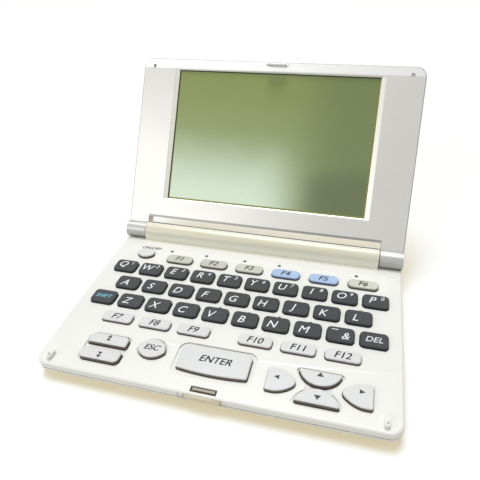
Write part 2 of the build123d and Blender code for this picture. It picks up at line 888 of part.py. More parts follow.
# ---- rockers: two caps on one plate that tilts on a ridge under the deck --------------
def make_rocker(name, place, outline, reach):
    caps = rocker_caps(place, outline, reach)
    plate_top = -deck_thickness - rocker_drop
    with BuildPart() as rocker:
        with BuildSketch(deck.offset(plate_top - rocker_plate)):
            for cap in caps:
                add(grown(cap, rocker_gap + flange_lip))
            with Locations(place):
                Rectangle(rocker_waist, reach)
        extrude(amount=rocker_plate)
        with BuildSketch(deck.offset(plate_top)):
            for cap in caps:
                add(cap)
        extrude(amount=front_cap_height - plate_top)
        tops = rocker.faces().filter_by(Axis.Z).group_by(Axis.Z)[-1]
        chamfer(tops.edges(), cap_chamfer)
        with BuildSketch(deck.offset(plate_top)):
            with Locations(place):
                Rectangle(ridge_length, ridge_width)
        extrude(amount=rocker_drop - ridge_gap)
    save(rocker, name)


for name, place, outline, reach in rockers:
    make_rocker(name, place, outline, reach)

# ---- latch: a button in the front wall, with a lip that holds the lid's hook ----------
hook_near = slot_near + hook_gap  # hook's front face, behind the front edge, when shut
hook_face = lid_face + lip_slope * (hinge_from_front - hook_near - lip_start)
hook_tip = hook_face + hook_reach
barb_rear = hook_near + hook_web + hook_barb
barb_top = hinge_above_deck - hook_tip + hook_barb_height
lip_front = hook_near + hook_web + latch_gap
web_front = barb_rear + pin_fit * 2
web_rear = web_front + latch_lip
floor_top = hinge_above_deck - hook_tip - 2 * latch_gap
with BuildPart() as latch_button:
    button_bottom = -latch_top - latch_height
    button_rear = latch_face - front_reach
    with BuildSketch(deck.offset(button_bottom)):
        with BuildLine():
            button_half = latch_width / 2
            ThreePointArc(
                (-button_half, -front_bow), (0, -front_reach), (button_half, -front_bow)
            )
            Polyline(
                (button_half, -front_bow),
                (button_half, button_rear),
                (-button_half, button_rear),
                (-button_half, -front_bow),
            )
        make_face()
    extrude(amount=latch_height)
    front_skin = latch_button.faces().sort_by(Axis.Y)[0]
    chamfer(front_skin.edges(), latch_lip)
    with BuildSketch(deck.offset(floor_top)):
        with Locations((slot_x, button_rear)):
            Rectangle(
                latch_floor_width,
                latch_rear - button_rear,
                align=(Align.CENTER, Align.MIN),
            )
        with Locations((slot_x, latch_rear)):
            Rectangle(
                latch_wing_width,
                latch_rear - case_wall - latch_travel,
                align=(Align.CENTER, Align.MAX),
            )
    extrude(amount=-latch_floor)
    with BuildSketch(base_side.offset(slot_x - latch_lip_width / 2)):
        Polygon(
            (web_front, floor_top - latch_floor / 2),
            (web_rear, floor_top - latch_floor / 2),
            (web_rear, -latch_lip_top),
            (lip_front, -latch_lip_top),
            (lip_front, barb_top + latch_gap / 2),
            (web_front, barb_top + latch_gap / 2),
            align=None,
        )
    extrude(amount=latch_lip_width)
save(latch_button, "latch_button")

# ---- hinge pins ------------------------------------------------------------------------
with BuildPart() as hinge_pins:
    pin_start = cover_end - pin_in_cover
    pin_length = pin_in_cover + barrel_gap + pin_in_barrel
    for start in (-pin_start - pin_length, pin_start):
        with BuildSketch(base_side.offset(start)):
            with Locations((hinge_from_front, hinge_above_deck)):
                Circle(pin_radius)
        extrude(amount=pin_length)
save(hinge_pins, "hinge_pins")


# ---- lid ------------------------------------------------------------------------------
def lid_outline(low, inset):
    """The lid from the front: rounded free corners, and the gap between its barrels."""
    with BuildSketch() as outline:
        with Locations((0, low)):
            Rectangle(body_width, lid_length - low, align=(Align.CENTER, Align.MIN))
        fillet(outline.vertices().group_by(Axis.Y)[-1], lid_corner)
        Rectangle(2 * barrel_inner, 2 * notch_height, mode=Mode.SUBTRACT)
        if inset:
            offset(amount=-inset, kind=Kind.INTERSECTION)
    return outline.sketch


def lid_room(inset):
    """The hollow inside either half of the lid."""
    with BuildSketch() as outline:
        with Locations((0, notch_height + inset)):
            Rectangle(
                body_width - 2 * inset,
                lid_length - notch_height - 2 * inset,
                align=(Align.CENTER, Align.MIN),
            )
        fillet(outline.vertices().group_by(Axis.Y)[-1], lid_corner - inset)
    return outline.sketch


window_middle = (window_low + window_high) / 2
window_height = window_high - window_low
with BuildPart() as lid_bezel:
    with BuildSketch(lid.offset(lid_parting)):
        add(lid_outline(root_start, 0))
    extrude(amount=bezel_depth + lip_rise)
    # the face, flat up to the thickened lip along the free edge
    with BuildSketch(lid_side.offset(-body_width)):
        above = lid_face + 2 * lip_rise
        Polygon(
            (-notch_height, lid_face),
            (lip_start, lid_face),
            (lid_length + lip_rise, lid_face + lip_slope * (lid_length + lip_rise - lip_start)),
            (lid_length + lip_rise, above),
            (-notch_height, above),
            align=None,
        )
    extrude(amount=2 * body_width, mode=Mode.SUBTRACT)
    front_faces = lid_bezel.faces().filter_by(lambda f: f.normal_at().dot(lid_front) > 0.9)
    rim = front_faces.edges().filter_by(
        lambda e: abs(e.center().X) > half_width - lid_corner
        or (e.center() - hinge_point).dot(lid_up) > lid_length - lid_corner / 2
    )
    chamfer(rim, lid_edge_bevel)
    with BuildSketch(lid.offset(lid_parting)):
        add(lid_room(lid_wall))
    extrude(amount=bezel_depth - bezel_plate, mode=Mode.SUBTRACT)
    # display window with its bevelled rim
    with BuildSketch(lid.offset(lid_parting)):
        with Locations((0, window_middle)):
            Rectangle(window_width, window_height)
    extrude(amount=2 * bezel_depth, mode=Mode.SUBTRACT)
    with BuildPart(mode=Mode.SUBTRACT):
        with BuildSketch(lid.offset(lid_face - window_bevel_depth)):
            with Locations((0, window_middle)):
                Rectangle(window_width, window_height)
        with BuildSketch(lid.offset(lid_face)):
            with Locations((0, window_middle)):
                Rectangle(
                    window_width + 2 * window_bevel_side,
                    window_height + 2 * window_bevel_end,
                )
        loft()
    # barrels, with bores for the hinge pins
    for inner, outward in ((-barrel_inner, -1), (barrel_inner, 1)):
        with BuildSketch(lid_side.offset(inner)):
            Circle(barrel_radius)
        extrude(amount=outward * barrel_length)
        with BuildSketch(lid_side.offset(inner)):
            Circle(pin_radius + pin_fit)
        extrude(amount=outward * (pin_in_barrel + pin_end_gap), mode=Mode.SUBTRACT)
    # the hook that the latch holds
    with BuildSketch(lid_side.offset(slot_x - hook_width / 2)):
        web_far = hinge_from_front - hook_near
        web_low = web_far - hook_web
        Polygon(
            (web_far, lid_face - bezel_plate / 2),
            (web_far, hook_tip - hook_barb / 2),
            (web_far - hook_barb / 2, hook_tip),
            (web_low, hook_tip),
            (web_low - hook_barb, hook_tip - hook_barb_height + hook_barb / 3),
            (web_low - hook_barb, hook_tip - hook_barb_height),
            (web_low, hook_tip - hook_barb_height),
            (web_low, lid_face - bezel_plate / 2),
            align=None,
        )
    extrude(amount=hook_width)
    # holes over the alignment bumps
    with BuildSketch(lid.offset(lid_face + lip_rise)):
        for side in (-1, 1):
            with Locations((side * bump_x, hinge_from_front - bump_pin_y)):
                RegularPolygon(bump_hole_radius, 8)
    extrude(amount=-lip_rise - bump_hole_depth, mode=Mode.SUBTRACT)
save(lid_bezel, "lid_bezel")

with BuildPart() as lid_cover:
    with BuildSketch(lid.offset(lid_parting)):
        add(lid_outline(barrel_root, 0))
    extrude(amount=lid_back - lid_parting)
    back = lid_cover.faces().filter_by(lambda f: f.normal_at().dot(lid_front) < -0.9)[0]
    fillet(
        back.edges().filter_by(
            lambda e: (e.center() - hinge_point).dot(lid_up) > notch_height + 1
        ),
        lid_back_round,
    )
    with BuildSketch(lid.offset(lid_parting)):
        add(lid_room(lid_cover_wall))
    extrude(amount=lid_back - lid_parting + lid_cover_wall, mode=Mode.SUBTRACT)
    # the back runs down to each barrel
    for start in (-half_width, barrel_inner):
        with BuildSketch(lid_side.offset(start)):
            root_t = -((barrel_radius + root_gap) ** 2 - root_start**2) ** 0.5
            Polygon(
                (barrel_root, lid_parting),
                (barrel_root, lid_back),
                (root_start, root_t),
                (root_start, lid_parting),
                align=None,
            )
            Circle(barrel_radius + root_gap, mode=Mode.SUBTRACT)
        extrude(amount=barrel_length)
save(lid_cover, "lid_cover")

with BuildPart() as display_panel:
    panel_top = lid_face - bezel_plate - display_gap
    with BuildSketch(lid.offset(panel_top)):
        with Locations((0, window_middle)):
            Rectangle(
                window_width + 2 * display_margin, window_height + 2 * display_margin
            )
    extrude(amount=-display_glass)
    with BuildSketch(lid.offset(panel_top - display_glass)):
        with Locations((0, window_middle)):
            Rectangle(
                window_width + 2 * (display_margin + display_frame_margin),
                window_height + 2 * display_margin,
            )
    extrude(amount=display_glass - display_thickness)
save(display_panel, "display_panel")
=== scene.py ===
import json
from math import pi, radians

import bmesh
import bpy
from mathutils import Matrix, Vector


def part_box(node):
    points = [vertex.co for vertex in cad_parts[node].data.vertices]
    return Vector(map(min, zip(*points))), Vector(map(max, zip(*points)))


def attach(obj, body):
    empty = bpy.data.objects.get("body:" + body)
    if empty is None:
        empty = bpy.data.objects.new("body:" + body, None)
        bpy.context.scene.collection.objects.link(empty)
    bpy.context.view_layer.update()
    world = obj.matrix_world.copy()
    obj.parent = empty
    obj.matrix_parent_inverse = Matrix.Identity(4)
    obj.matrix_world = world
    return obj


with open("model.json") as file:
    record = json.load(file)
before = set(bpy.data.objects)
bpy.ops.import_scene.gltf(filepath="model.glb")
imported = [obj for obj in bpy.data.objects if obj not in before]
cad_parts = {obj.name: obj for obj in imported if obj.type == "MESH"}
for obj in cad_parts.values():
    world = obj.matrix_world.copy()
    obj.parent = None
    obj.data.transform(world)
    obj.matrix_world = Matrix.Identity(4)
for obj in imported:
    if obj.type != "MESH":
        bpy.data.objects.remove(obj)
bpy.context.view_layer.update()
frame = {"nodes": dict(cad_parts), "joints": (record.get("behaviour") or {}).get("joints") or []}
nodes = frame["nodes"]
mm = 0.001

# The lid's own frame: x along the hinge, y up the lid, z out of its face
hinge = next(joint for joint in frame["joints"] if joint["name"] == "lid_hinge")
hingePoint = Vector(hinge["pos_m"])
lidTurn = pi - radians(-hinge["range_deg"][0])
letterRise = 1.5 * mm  # the letter caps stand this high over the deck
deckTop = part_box("key_q")[1].z - letterRise
print("frame loaded, lid turned", round(lidTurn, 3), "deck at", round(deckTop, 5))


# Small helpers for node trees
def colour(red, green, blue):
    parts = [part / 255 for part in (red, green, blue)]
    linear = [part / 12.92 if part <= 0.04045 else ((part + 0.055) / 1.055) ** 2.4 for part in parts]
    return (*linear, 1.0)


def setInputs(tree, node, values):
    for key, value in values.items():
        if isinstance(value, bpy.types.NodeSocket):
            tree.links.new(value, node.inputs[key])
        else:
            node.inputs[key].default_value = value


def addNode(tree, kind, values=None, **settings):
    node = tree.nodes.new(kind)
    for name, value in settings.items():
        setattr(node, name, value)
    setInputs(tree, node, values or {})
    return node


def addMath(tree, operation, first, second=0.0, clamp=False):
    values = {0: first, 1: second}
    return addNode(tree, "ShaderNodeMath", values, operation=operation, use_clamp=clamp).outputs[0]


def product(tree, first, *others):
    for other in others:
        first = addMath(tree, "MULTIPLY", first, other)
    return first


def addMix(tree, factor, first, second):
    values = {0: factor, 6: first, 7: second}
    return addNode(tree, "ShaderNodeMix", values, data_type="RGBA").outputs[2]


def paintOver(tree, under, mask, tone):
    return addMix(tree, mask, under, colour(*tone))


def addRange(tree, value, low, high):
    values = {"Value": value, "From Min": low, "From Max": high}
    return addNode(tree, "ShaderNodeMapRange", values, interpolation_type="SMOOTHSTEP").outputs[0]


def insideOf(tree, value, low, high, soft):
    rising = addRange(tree, value, low - soft, low + soft)
    falling = addRange(tree, value, high + soft, high - soft)
    return product(tree, rising, falling)


def addNoise(tree, place, scale, detail=2.0, roughness=0.5):
    values = {"Vector": place, "Scale": scale, "Detail": detail, "Roughness": roughness}
    return addNode(tree, "ShaderNodeTexNoise", values).outputs[0]


def objectPlace(tree):
    return addNode(tree, "ShaderNodeTexCoord").outputs["Object"]


def placeAxes(tree):
    return addNode(tree, "ShaderNodeSeparateXYZ", {0: objectPlace(tree)}).outputs


# The same place in the lid's frame, in millimetres
def lidAxes(tree):
    values = {
        "Vector": objectPlace(tree),
        "Location": hingePoint,
        "Rotation": (lidTurn, 0, 0),
        "Scale": (mm, mm, mm),
    }
    turned = addNode(tree, "ShaderNodeMapping", values, vector_type="TEXTURE")
    return addNode(tree, "ShaderNodeSeparateXYZ", {0: turned.outputs[0]}).outputs


def newGroup(name, inputs, outputs):
    group = bpy.data.node_groups.new(name, "ShaderNodeTree")
    for label, kind in inputs.items():
        group.interface.new_socket(label, in_out="INPUT", socket_type="NodeSocket" + kind)
    for label, kind in outputs.items():
        group.interface.new_socket(label, in_out="OUTPUT", socket_type="NodeSocket" + kind)
    return group, group.nodes.new("NodeGroupInput").outputs, group.nodes.new("NodeGroupOutput")


# Fine flakes and slow clouding of a sprayed or moulded surface
grainLook = {
    "fineDetail": 3.0,
    "fineRoughness": 0.6,
    "sparkScale": 0.7,
    "sparkShare": 0.25,
    "cloudScale": 38.0,
    "cloudDetail": 2.5,
    "cloudRoughness": 0.55,
    "cloudGloss": 0.16,
    "fineGloss": 0.1,
}


def makeSurfaceGrain():
    look = grainLook
    inputs = {
        "Place": "Vector",
        "Colour": "Color",
        "Roughness": "Float",
        "Size": "Float",
        "Grain": "Float",
        "Cloud": "Float",
    }
    outputs = {"Colour": "Color", "Roughness": "Float", "Height": "Float"}
    group, given, out = newGroup("surfaceGrain", inputs, outputs)
    frequency = addMath(group, "DIVIDE", 1.0, given["Size"])
    fine = addNoise(group, given["Place"], frequency, look["fineDetail"], look["fineRoughness"])
    fine = addMath(group, "SUBTRACT", fine, 0.5)
    flakes = {"Vector": given["Place"], "Scale": product(group, frequency, look["sparkScale"])}
    flake = addNode(group, "ShaderNodeTexVoronoi", flakes)
    spark = addMath(group, "SUBTRACT", flake.outputs["Color"], 0.5)
    cloud = addNoise(group, given["Place"], look["cloudScale"], look["cloudDetail"], look["cloudRoughness"])
    cloud = addMath(group, "SUBTRACT", cloud, 0.5)
    grainy = addMath(group, "ADD", fine, product(group, spark, look["sparkShare"]))
    grainy = product(group, grainy, given["Grain"])
    cloudy = product(group, cloud, given["Cloud"])
    shade = addMath(group, "ADD", 1.0, addMath(group, "ADD", grainy, cloudy))
    scaled = {0: given["Colour"], "Scale": shade}
    scaled = addNode(group, "ShaderNodeVectorMath", scaled, operation="SCALE")
    rough = addMath(group, "ADD", given["Roughness"], product(group, cloud, look["cloudGloss"]))
    rough = addMath(group, "ADD", rough, product(group, fine, look["fineGloss"]), clamp=True)
    setInputs(group, out, {"Colour": scaled.outputs[0], "Roughness": rough, "Height": fine})
    return group


# Soft normals at moulded edges, and a mask of where the surface turns
edgeLook = {"samples": 6, "start": 0.99, "full": 0.8}


def makeSoftEdges():
    group, given, out = newGroup("softEdges", {"Radius": "Float"}, {"Normal": "Vector", "Edge": "Float"})
    rounded = addNode(group, "ShaderNodeBevel", {"Radius": given["Radius"]}, samples=edgeLook["samples"])
    flat = addNode(group, "ShaderNodeNewGeometry")
    pair = {0: rounded.outputs[0], 1: flat.outputs["Normal"]}
    same = addNode(group, "ShaderNodeVectorMath", pair, operation="DOT_PRODUCT").outputs["Value"]
    edge = addRange(group, same, edgeLook["start"], edgeLook["full"])
    setInputs(group, out, {"Normal": rounded.outputs[0], "Edge": edge})
    return group


# Polished edges, and in the gaps a little dust with painted shade
wearAndGapShadeLook = {
    "patchScale": 420.0,
    "patchDetail": 3.0,
    "patchStart": 0.35,
    "patchFull": 0.7,
    "gap": 1.2 * mm,
    "samples": 6,
    "dustAndShadeStart": 0.35,
    "dustAndShadeFull": 0.95,
}


def makeWearAndGapShade():
    look = wearAndGapShadeLook
    inputs = {
        "Place": "Vector",
        "Colour": "Color",
        "Edge": "Float",
        "Wear": "Float",
        "Bare": "Color",
        "GapDustAndShade": "Float",
        "GapDustAndShadeTone": "Color",
    }
    group, given, out = newGroup("wearAndGapShade", inputs, {"Colour": "Color"})
    patchy = addNoise(group, given["Place"], look["patchScale"], look["patchDetail"])
    patchy = addRange(group, patchy, look["patchStart"], look["patchFull"])
    worn = addMix(group, product(group, patchy, given["Edge"], given["Wear"]), given["Colour"], given["Bare"])
    # Dust and painted shade: the colour turns towards its gap tone wherever another surface is close
    nearby = addNode(group, "ShaderNodeAmbientOcclusion", {"Distance": look["gap"]}, samples=look["samples"])
    shut = addMath(group, "SUBTRACT", 1.0, nearby.outputs["AO"])
    settledAndShaded = product(group, addRange(group, shut, look["dustAndShadeStart"], look["dustAndShadeFull"]), given["GapDustAndShade"])
    setInputs(group, out, {"Colour": addMix(group, settledAndShaded, worn, given["GapDustAndShadeTone"])})
    return group


surfaceGrain, softEdges, wearAndGapShade = makeSurfaceGrain(), makeSoftEdges(), makeWearAndGapShade()
print("shared effects built:", surfaceGrain.name, softEdges.name, wearAndGapShade.name)

# What a finish has unless it says otherwise
plainFinish = {
    "colour": (200, 200, 200),
    "roughness": 0.4,
    "metallic": 0.0,
    "coat": 0.0,
    "coatRoughness": 0.1,
    "specular": 0.5,
    "size": 0.3 * mm,
    "grain": 0.08,
    "cloud": 0.05,
    "relief": 0.004 * mm,
    "bump": 0.6,
    "radius": 0.1 * mm,
    "wear": 0.0,
    "bare": (240, 240, 236),
    # How far gaps darken with dust and painted shade, and towards which tone
    "gapDustAndShade": 0.25,
    "gapDustAndShadeTone": (120, 108, 88),
}


def makeFinish(name, given, pattern=None):
    values = {**plainFinish, **given}
    material = bpy.data.materials.new(name)
    material.use_nodes = True
    tree = material.node_tree
    place = objectPlace(tree)
    base, rough = colour(*values["colour"]), values["roughness"]
    if pattern:
        base, rough = pattern(tree, base, rough)
    grainInputs = {
        "Place": place,
        "Colour": base,
        "Roughness": rough,
        "Size": values["size"],
        "Grain": values["grain"],
        "Cloud": values["cloud"],
    }
    grain = addNode(tree, "ShaderNodeGroup", node_tree=surfaceGrain)
    setInputs(tree, grain, grainInputs)
    edges = addNode(tree, "ShaderNodeGroup", node_tree=softEdges)
    setInputs(tree, edges, {"Radius": values["radius"]})
    wornInputs = {
        "Place": place,
        "Colour": grain.outputs["Colour"],
        "Edge": edges.outputs["Edge"],
        "Wear": values["wear"],
        "Bare": colour(*values["bare"]),
        "GapDustAndShade": values["gapDustAndShade"],
        "GapDustAndShadeTone": colour(*values["gapDustAndShadeTone"]),
    }
    worn = addNode(tree, "ShaderNodeGroup", node_tree=wearAndGapShade)
    setInputs(tree, worn, wornInputs)
    bumpInputs = {
        "Strength": values["bump"],
        "Distance": values["relief"],
        "Height": grain.outputs["Height"],
        "Normal": edges.outputs["Normal"],
    }
    bump = addNode(tree, "ShaderNodeBump", bumpInputs)
    shaderInputs = {
        "Base Color": worn.outputs["Colour"],
        "Roughness": grain.outputs["Roughness"],
        "Metallic": values["metallic"],
        "Coat Weight": values["coat"],
        "Coat Roughness": values["coatRoughness"],
        "Specular IOR Level": values["specular"],
        "Normal": bump.outputs[0],
    }
    setInputs(tree, tree.nodes["Principled BSDF"], shaderInputs)
    return material


# Case: pearl white, with the warmer hinge cover between the lid's barrels; the cover carries a painted
# highlight low on its front, a top painted pure white against the lid's shade, and a painted shade line behind
# its crest
casePaint = {
    "colour": (234, 234, 228),
    "roughness": 0.36,
    "coat": 0.25,
    "grain": 0.08,
    "cloud": 0.035,
    "radius": 0.12 * mm,
    "gapDustAndShade": 0.1,
    "gapDustAndShadeTone": (176, 160, 128),
}
hingeCover = {
    "reach": 62.95 * mm,
    "reachSoft": 0.02 * mm,
    "front": 6.5 * mm,
    "crest": 0.1 * mm,
    "foot": 5.0 * mm,
    "soft": 0.05 * mm,
    "gloss": 0.06,
    "colour": (226, 222, 199),
    # Painted highlight: the cover's front is painted lighter low down, near the deck
    "face": (243, 243, 226),
    "faceTop": 2.5 * mm,
    "faceLow": 0.5 * mm,
    # Painted highlight: the flat top behind the crest is painted pure white against the lid's shade
    "top": (255, 255, 255),
    # Painted shade: a dark line across the top just behind the crest
    "line": (122, 119, 106),
    "crestShadeStart": 0.3 * mm,
    "crestShadeEnd": 1.7 * mm,
    "crestShadeSoft": 0.08 * mm,
}
partingLine = {
    "depth": 4.0 * mm,
    "half": 0.18 * mm,
    "soft": 0.04 * mm,
    "strength": 0.95,
    "patchScale": 260.0,
    "patchStart": 0.1,
    "patchFull": 0.5,
    "colour": (128, 116, 94),
}


# The cover's paint: a painted highlight low on its front, a pure white top painted against the lid's shade,
# and a painted shade line behind the crest
def coverPaint(tree, y, z):
    cover = hingeCover
    face = addRange(tree, z, hingePoint.z + cover["faceTop"], hingePoint.z + cover["faceLow"])
    front = paintOver(tree, colour(*cover["colour"]), face, cover["face"])
    crestShadeStart, crestShadeEnd = hingePoint.y + cover["crestShadeStart"], hingePoint.y + cover["crestShadeEnd"]
    line = insideOf(tree, y, crestShadeStart, crestShadeEnd, cover["crestShadeSoft"])
    top = paintOver(tree, colour(*cover["top"]), line, cover["line"])
    crest = hingePoint.y - cover["crest"]
    return addMix(tree, addRange(tree, y, crest, crest + cover["soft"]), front, top)


def casePattern(tree, base, rough):
    x, y, z = placeAxes(tree)
    cover, seam = hingeCover, partingLine
    across = insideOf(tree, x, -cover["reach"], cover["reach"], cover["reachSoft"])
    front, foot = hingePoint.y - cover["front"], deckTop - cover["foot"]
    behind = addRange(tree, y, front, front + cover["soft"])
    above = addRange(tree, z, foot, foot + cover["soft"])
    mask = product(tree, across, behind, above)
    painted = addMix(tree, mask, base, coverPaint(tree, y, z))
    parting = deckTop - seam["depth"]
    line = insideOf(tree, z, parting - seam["half"], parting + seam["half"], seam["soft"])
    patchy = addNoise(tree, objectPlace(tree), seam["patchScale"])
    patchy = addRange(tree, patchy, seam["patchStart"], seam["patchFull"])
    painted = paintOver(tree, painted, product(tree, line, patchy, seam["strength"]), seam["colour"])
    return painted, addMath(tree, "SUBTRACT", rough, product(tree, mask, cover["gloss"]))


# Lid: satin silver with a few painted lines, sizes in millimetres of its own frame; the lines are painted
# highlights and painted shade
lidPaint = {
    "colour": (202, 201, 196),
    "roughness": 0.4,
    "metallic": 0.75,
    "coat": 0.1,
    "grain": 0.13,
    "cloud": 0.05,
    "radius": 0.12 * mm,
}
lidSoft = 0.1
windowTrim = {
    "half": 55.5,
    "halfSoft": 0.5,
    "low": 18.45,
    "high": 90.35,
    "endSoft": 0.03,
    "back": -0.2,
    "colour": (213, 211, 200),
}
# Painted highlight: the sloped strip at the lid's free end is painted lighter, as a reflection
freeEdgeHighlight = {"low": 90.3, "high": 91.2, "front": 0.9, "colour": (228, 228, 226)}
# Painted shade: a dark line round the outer edge of the lid's face, where the edge turns away
rimShadeLine = {
    "half": 74.5,
    "length": 95.1,
    "corner": 5.0,
    "width": 0.42,
    "back": 0.5,
    "strength": 0.8,
    "colour": (116, 116, 124),
}
# Painted shade: the lowest strip of the lid's face is painted dark, as its rounded bottom edge in shade
footShade = {
    "half": 63.2,
    "halfSoft": 0.03,
    "low": 4.8,
    "high": 9.2,
    "strength": 0.75,
    "colour": (112, 112, 108),
}
# Painted shade: the barrels are painted a darker grey than the lid's silver
barrelShade = {"reach": 4.7, "colour": (176, 176, 174)}
# Painted light on the hook: its lower half is painted dark as shade, its upper half lighter as a highlight
hookLitAndShaded = {
    "front": 2.1,
    "low": 90.8,
    "foot": 2.3,
    "tip": 3.9,
    "shade": (104, 104, 98),
    "colour": (222, 221, 215),
}


# The lid's outer edge, round its two far corners, where a dark line of painted shade runs
def rimShadeMask(tree, x, y, z):
    past = addMath(tree, "SUBTRACT", addMath(tree, "ABSOLUTE", x), rimShadeLine["half"] - rimShadeLine["corner"])
    beyond = addMath(tree, "SUBTRACT", y, rimShadeLine["length"] - rimShadeLine["corner"])
    past, beyond = (addMath(tree, "MAXIMUM", reach, 0.0) for reach in (past, beyond))
    past, beyond = (addMath(tree, "POWER", reach, 2.0) for reach in (past, beyond))
    reached = addMath(tree, "SQRT", addMath(tree, "ADD", past, beyond))
    edge = rimShadeLine["corner"] - rimShadeLine["width"]
    rim = addRange(tree, reached, edge - lidSoft, edge + lidSoft)
    front = addRange(tree, z, rimShadeLine["back"] - lidSoft, rimShadeLine["back"])
    return product(tree, rim, front, rimShadeLine["strength"])


def lidPattern(tree, base, rough):
    x, y, z = lidAxes(tree)
    trim, foot, hook = windowTrim, footShade, hookLitAndShaded
    front = addRange(tree, z, trim["back"] - lidSoft, trim["back"])
    across = insideOf(tree, x, -trim["half"], trim["half"], trim["halfSoft"])
    along = insideOf(tree, y, trim["low"], trim["high"], trim["endSoft"])
    painted = paintOver(tree, base, product(tree, across, along, front), trim["colour"])
    # Painted highlight along the free end
    rising = addRange(tree, y, freeEdgeHighlight["low"], freeEdgeHighlight["high"])
    proud = addRange(tree, z, freeEdgeHighlight["front"] - lidSoft, freeEdgeHighlight["front"])
    painted = paintOver(tree, painted, product(tree, rising, proud), freeEdgeHighlight["colour"])
    # Painted shade round the outer edge
    painted = paintOver(tree, painted, rimShadeMask(tree, x, y, z), rimShadeLine["colour"])
    # Painted shade on the lid's bottom edge
    across = insideOf(tree, x, -foot["half"], foot["half"], foot["halfSoft"])
    along = insideOf(tree, y, foot["low"], foot["high"], lidSoft)
    painted = paintOver(tree, painted, product(tree, across, along, front, foot["strength"]), foot["colour"])
    # Painted shade on the barrels
    barrel = addRange(tree, y, barrelShade["reach"], barrelShade["reach"] - lidSoft)
    painted = paintOver(tree, painted, barrel, barrelShade["colour"])
    # Painted shade and highlight on the hook
    proud = addRange(tree, z, hook["front"] - lidSoft, hook["front"])
    far = addRange(tree, y, hook["low"] - lidSoft, hook["low"])
    lit = addRange(tree, z, hook["foot"], hook["tip"])
    hooked = paintOver(tree, colour(*hook["shade"]), lit, hook["colour"])
    return addMix(tree, product(tree, proud, far), painted, hooked), rough


# Latch: cream, with painted shade where its lip lies down in the slot
latchPaint = {"colour": (216, 206, 178), "roughness": 0.38, "coat": 0.2, "grain": 0.06}
latchLipShade = {"depth": 2.4 * mm, "soft": 0.1 * mm, "colour": (168, 160, 142)}


def latchPattern(tree, base, rough):
    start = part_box("latch_button")[0].y + latchLipShade["depth"]
    # Painted shade on the lip inside the slot
    lip = addRange(tree, placeAxes(tree)[1], start - latchLipShade["soft"], start + latchLipShade["soft"])
    return paintOver(tree, base, lip, latchLipShade["colour"]), rough


# Display: pale liquid-crystal green that deepens up and to the right, with a painted pale reflection low on
# the left, painted shade to the right and a painted dark patch low on the right
displayPaint = {
    "colour": (156, 169, 123),
    "roughness": 0.3,
    "specular": 0.25,
    "coat": 0.12,
    "coatRoughness": 0.15,
    "grain": 0.12,
    "size": 0.4 * mm,
    "radius": 0.05 * mm,
    "relief": 0.002 * mm,
    "gapDustAndShade": 0.0,
}
# Its size in millimetres of the lid's frame
displaySize = {
    "half": 53.5,
    "low": 19.1,
    "high": 89.7,
    "rim": 0.9,
    "rimSoft": 0.1,
    # Painted shadow of the bezel: its width along the left and top edges of the glass
    "bezelShadow": 0.5,
    "bezelShadowSoft": 0.06,
}
displayTones = {
    "upper": (150, 163, 99),
    "middle": (164, 178, 128),
    # Painted reflection: the pale lower tone; painted shade: the shade and patch tones
    "lower": (236, 255, 228),
    "shade": (118, 132, 88),
    "shadePatch": (98, 112, 86),
    "rim": (140, 142, 78),
    # Painted shadow of the bezel along the left and top edges
    "bezelShadow": (34, 36, 30),
    "cell": (90, 100, 70),
}
# Where one tone gives way to the next: up runs 0 to 1, across runs 0 to 1, side is in millimetres
displayFades = {
    "cloudScale": 30.0,
    "cloud": 0.12,
    "upper": (0.25, 0.95),
    "reflectionUp": (0.62, 0.02),
    "reflectionSide": (34.0, -6.0),
    "shadeAcross": (0.55, 1.0),
    "shade": 0.75,
    "shadePatchAcross": (0.7, 0.9),
    "shadePatchUp": (0.4, 0.2),
    "shadePatch": 0.5,
}
displayCells = {"pitch": 0.32, "width": 0.04, "strength": 0.06}


# The tones, the faint lines between its dots, the rim, and a painted shadow of the bezel along its left and
# top edges
def displayGlow(tree, x, y):
    size, tones, fades = displaySize, displayTones, displayFades
    across = addRange(tree, x, -size["half"], size["half"])
    up = addMath(tree, "SUBTRACT", y, size["low"])
    up = addMath(tree, "DIVIDE", up, size["high"] - size["low"])
    cloud = addMath(tree, "SUBTRACT", addNoise(tree, objectPlace(tree), fades["cloudScale"]), 0.5)
    up = addMath(tree, "ADD", up, product(tree, cloud, fades["cloud"]))
    green = paintOver(tree, colour(*tones["middle"]), addRange(tree, up, *fades["upper"]), tones["upper"])
    # Painted reflection, pale low on the left
    lower = product(tree, addRange(tree, up, *fades["reflectionUp"]), addRange(tree, x, *fades["reflectionSide"]))
    green = paintOver(tree, green, lower, tones["lower"])
    # Painted shade to the right and in a patch low on the right
    shade = product(tree, addRange(tree, across, *fades["shadeAcross"]), fades["shade"])
    green = paintOver(tree, green, shade, tones["shade"])
    shadePatch = product(tree, addRange(tree, across, *fades["shadePatchAcross"]), addRange(tree, up, *fades["shadePatchUp"]))
    return paintOver(tree, green, product(tree, shadePatch, fades["shadePatch"]), tones["shadePatch"])


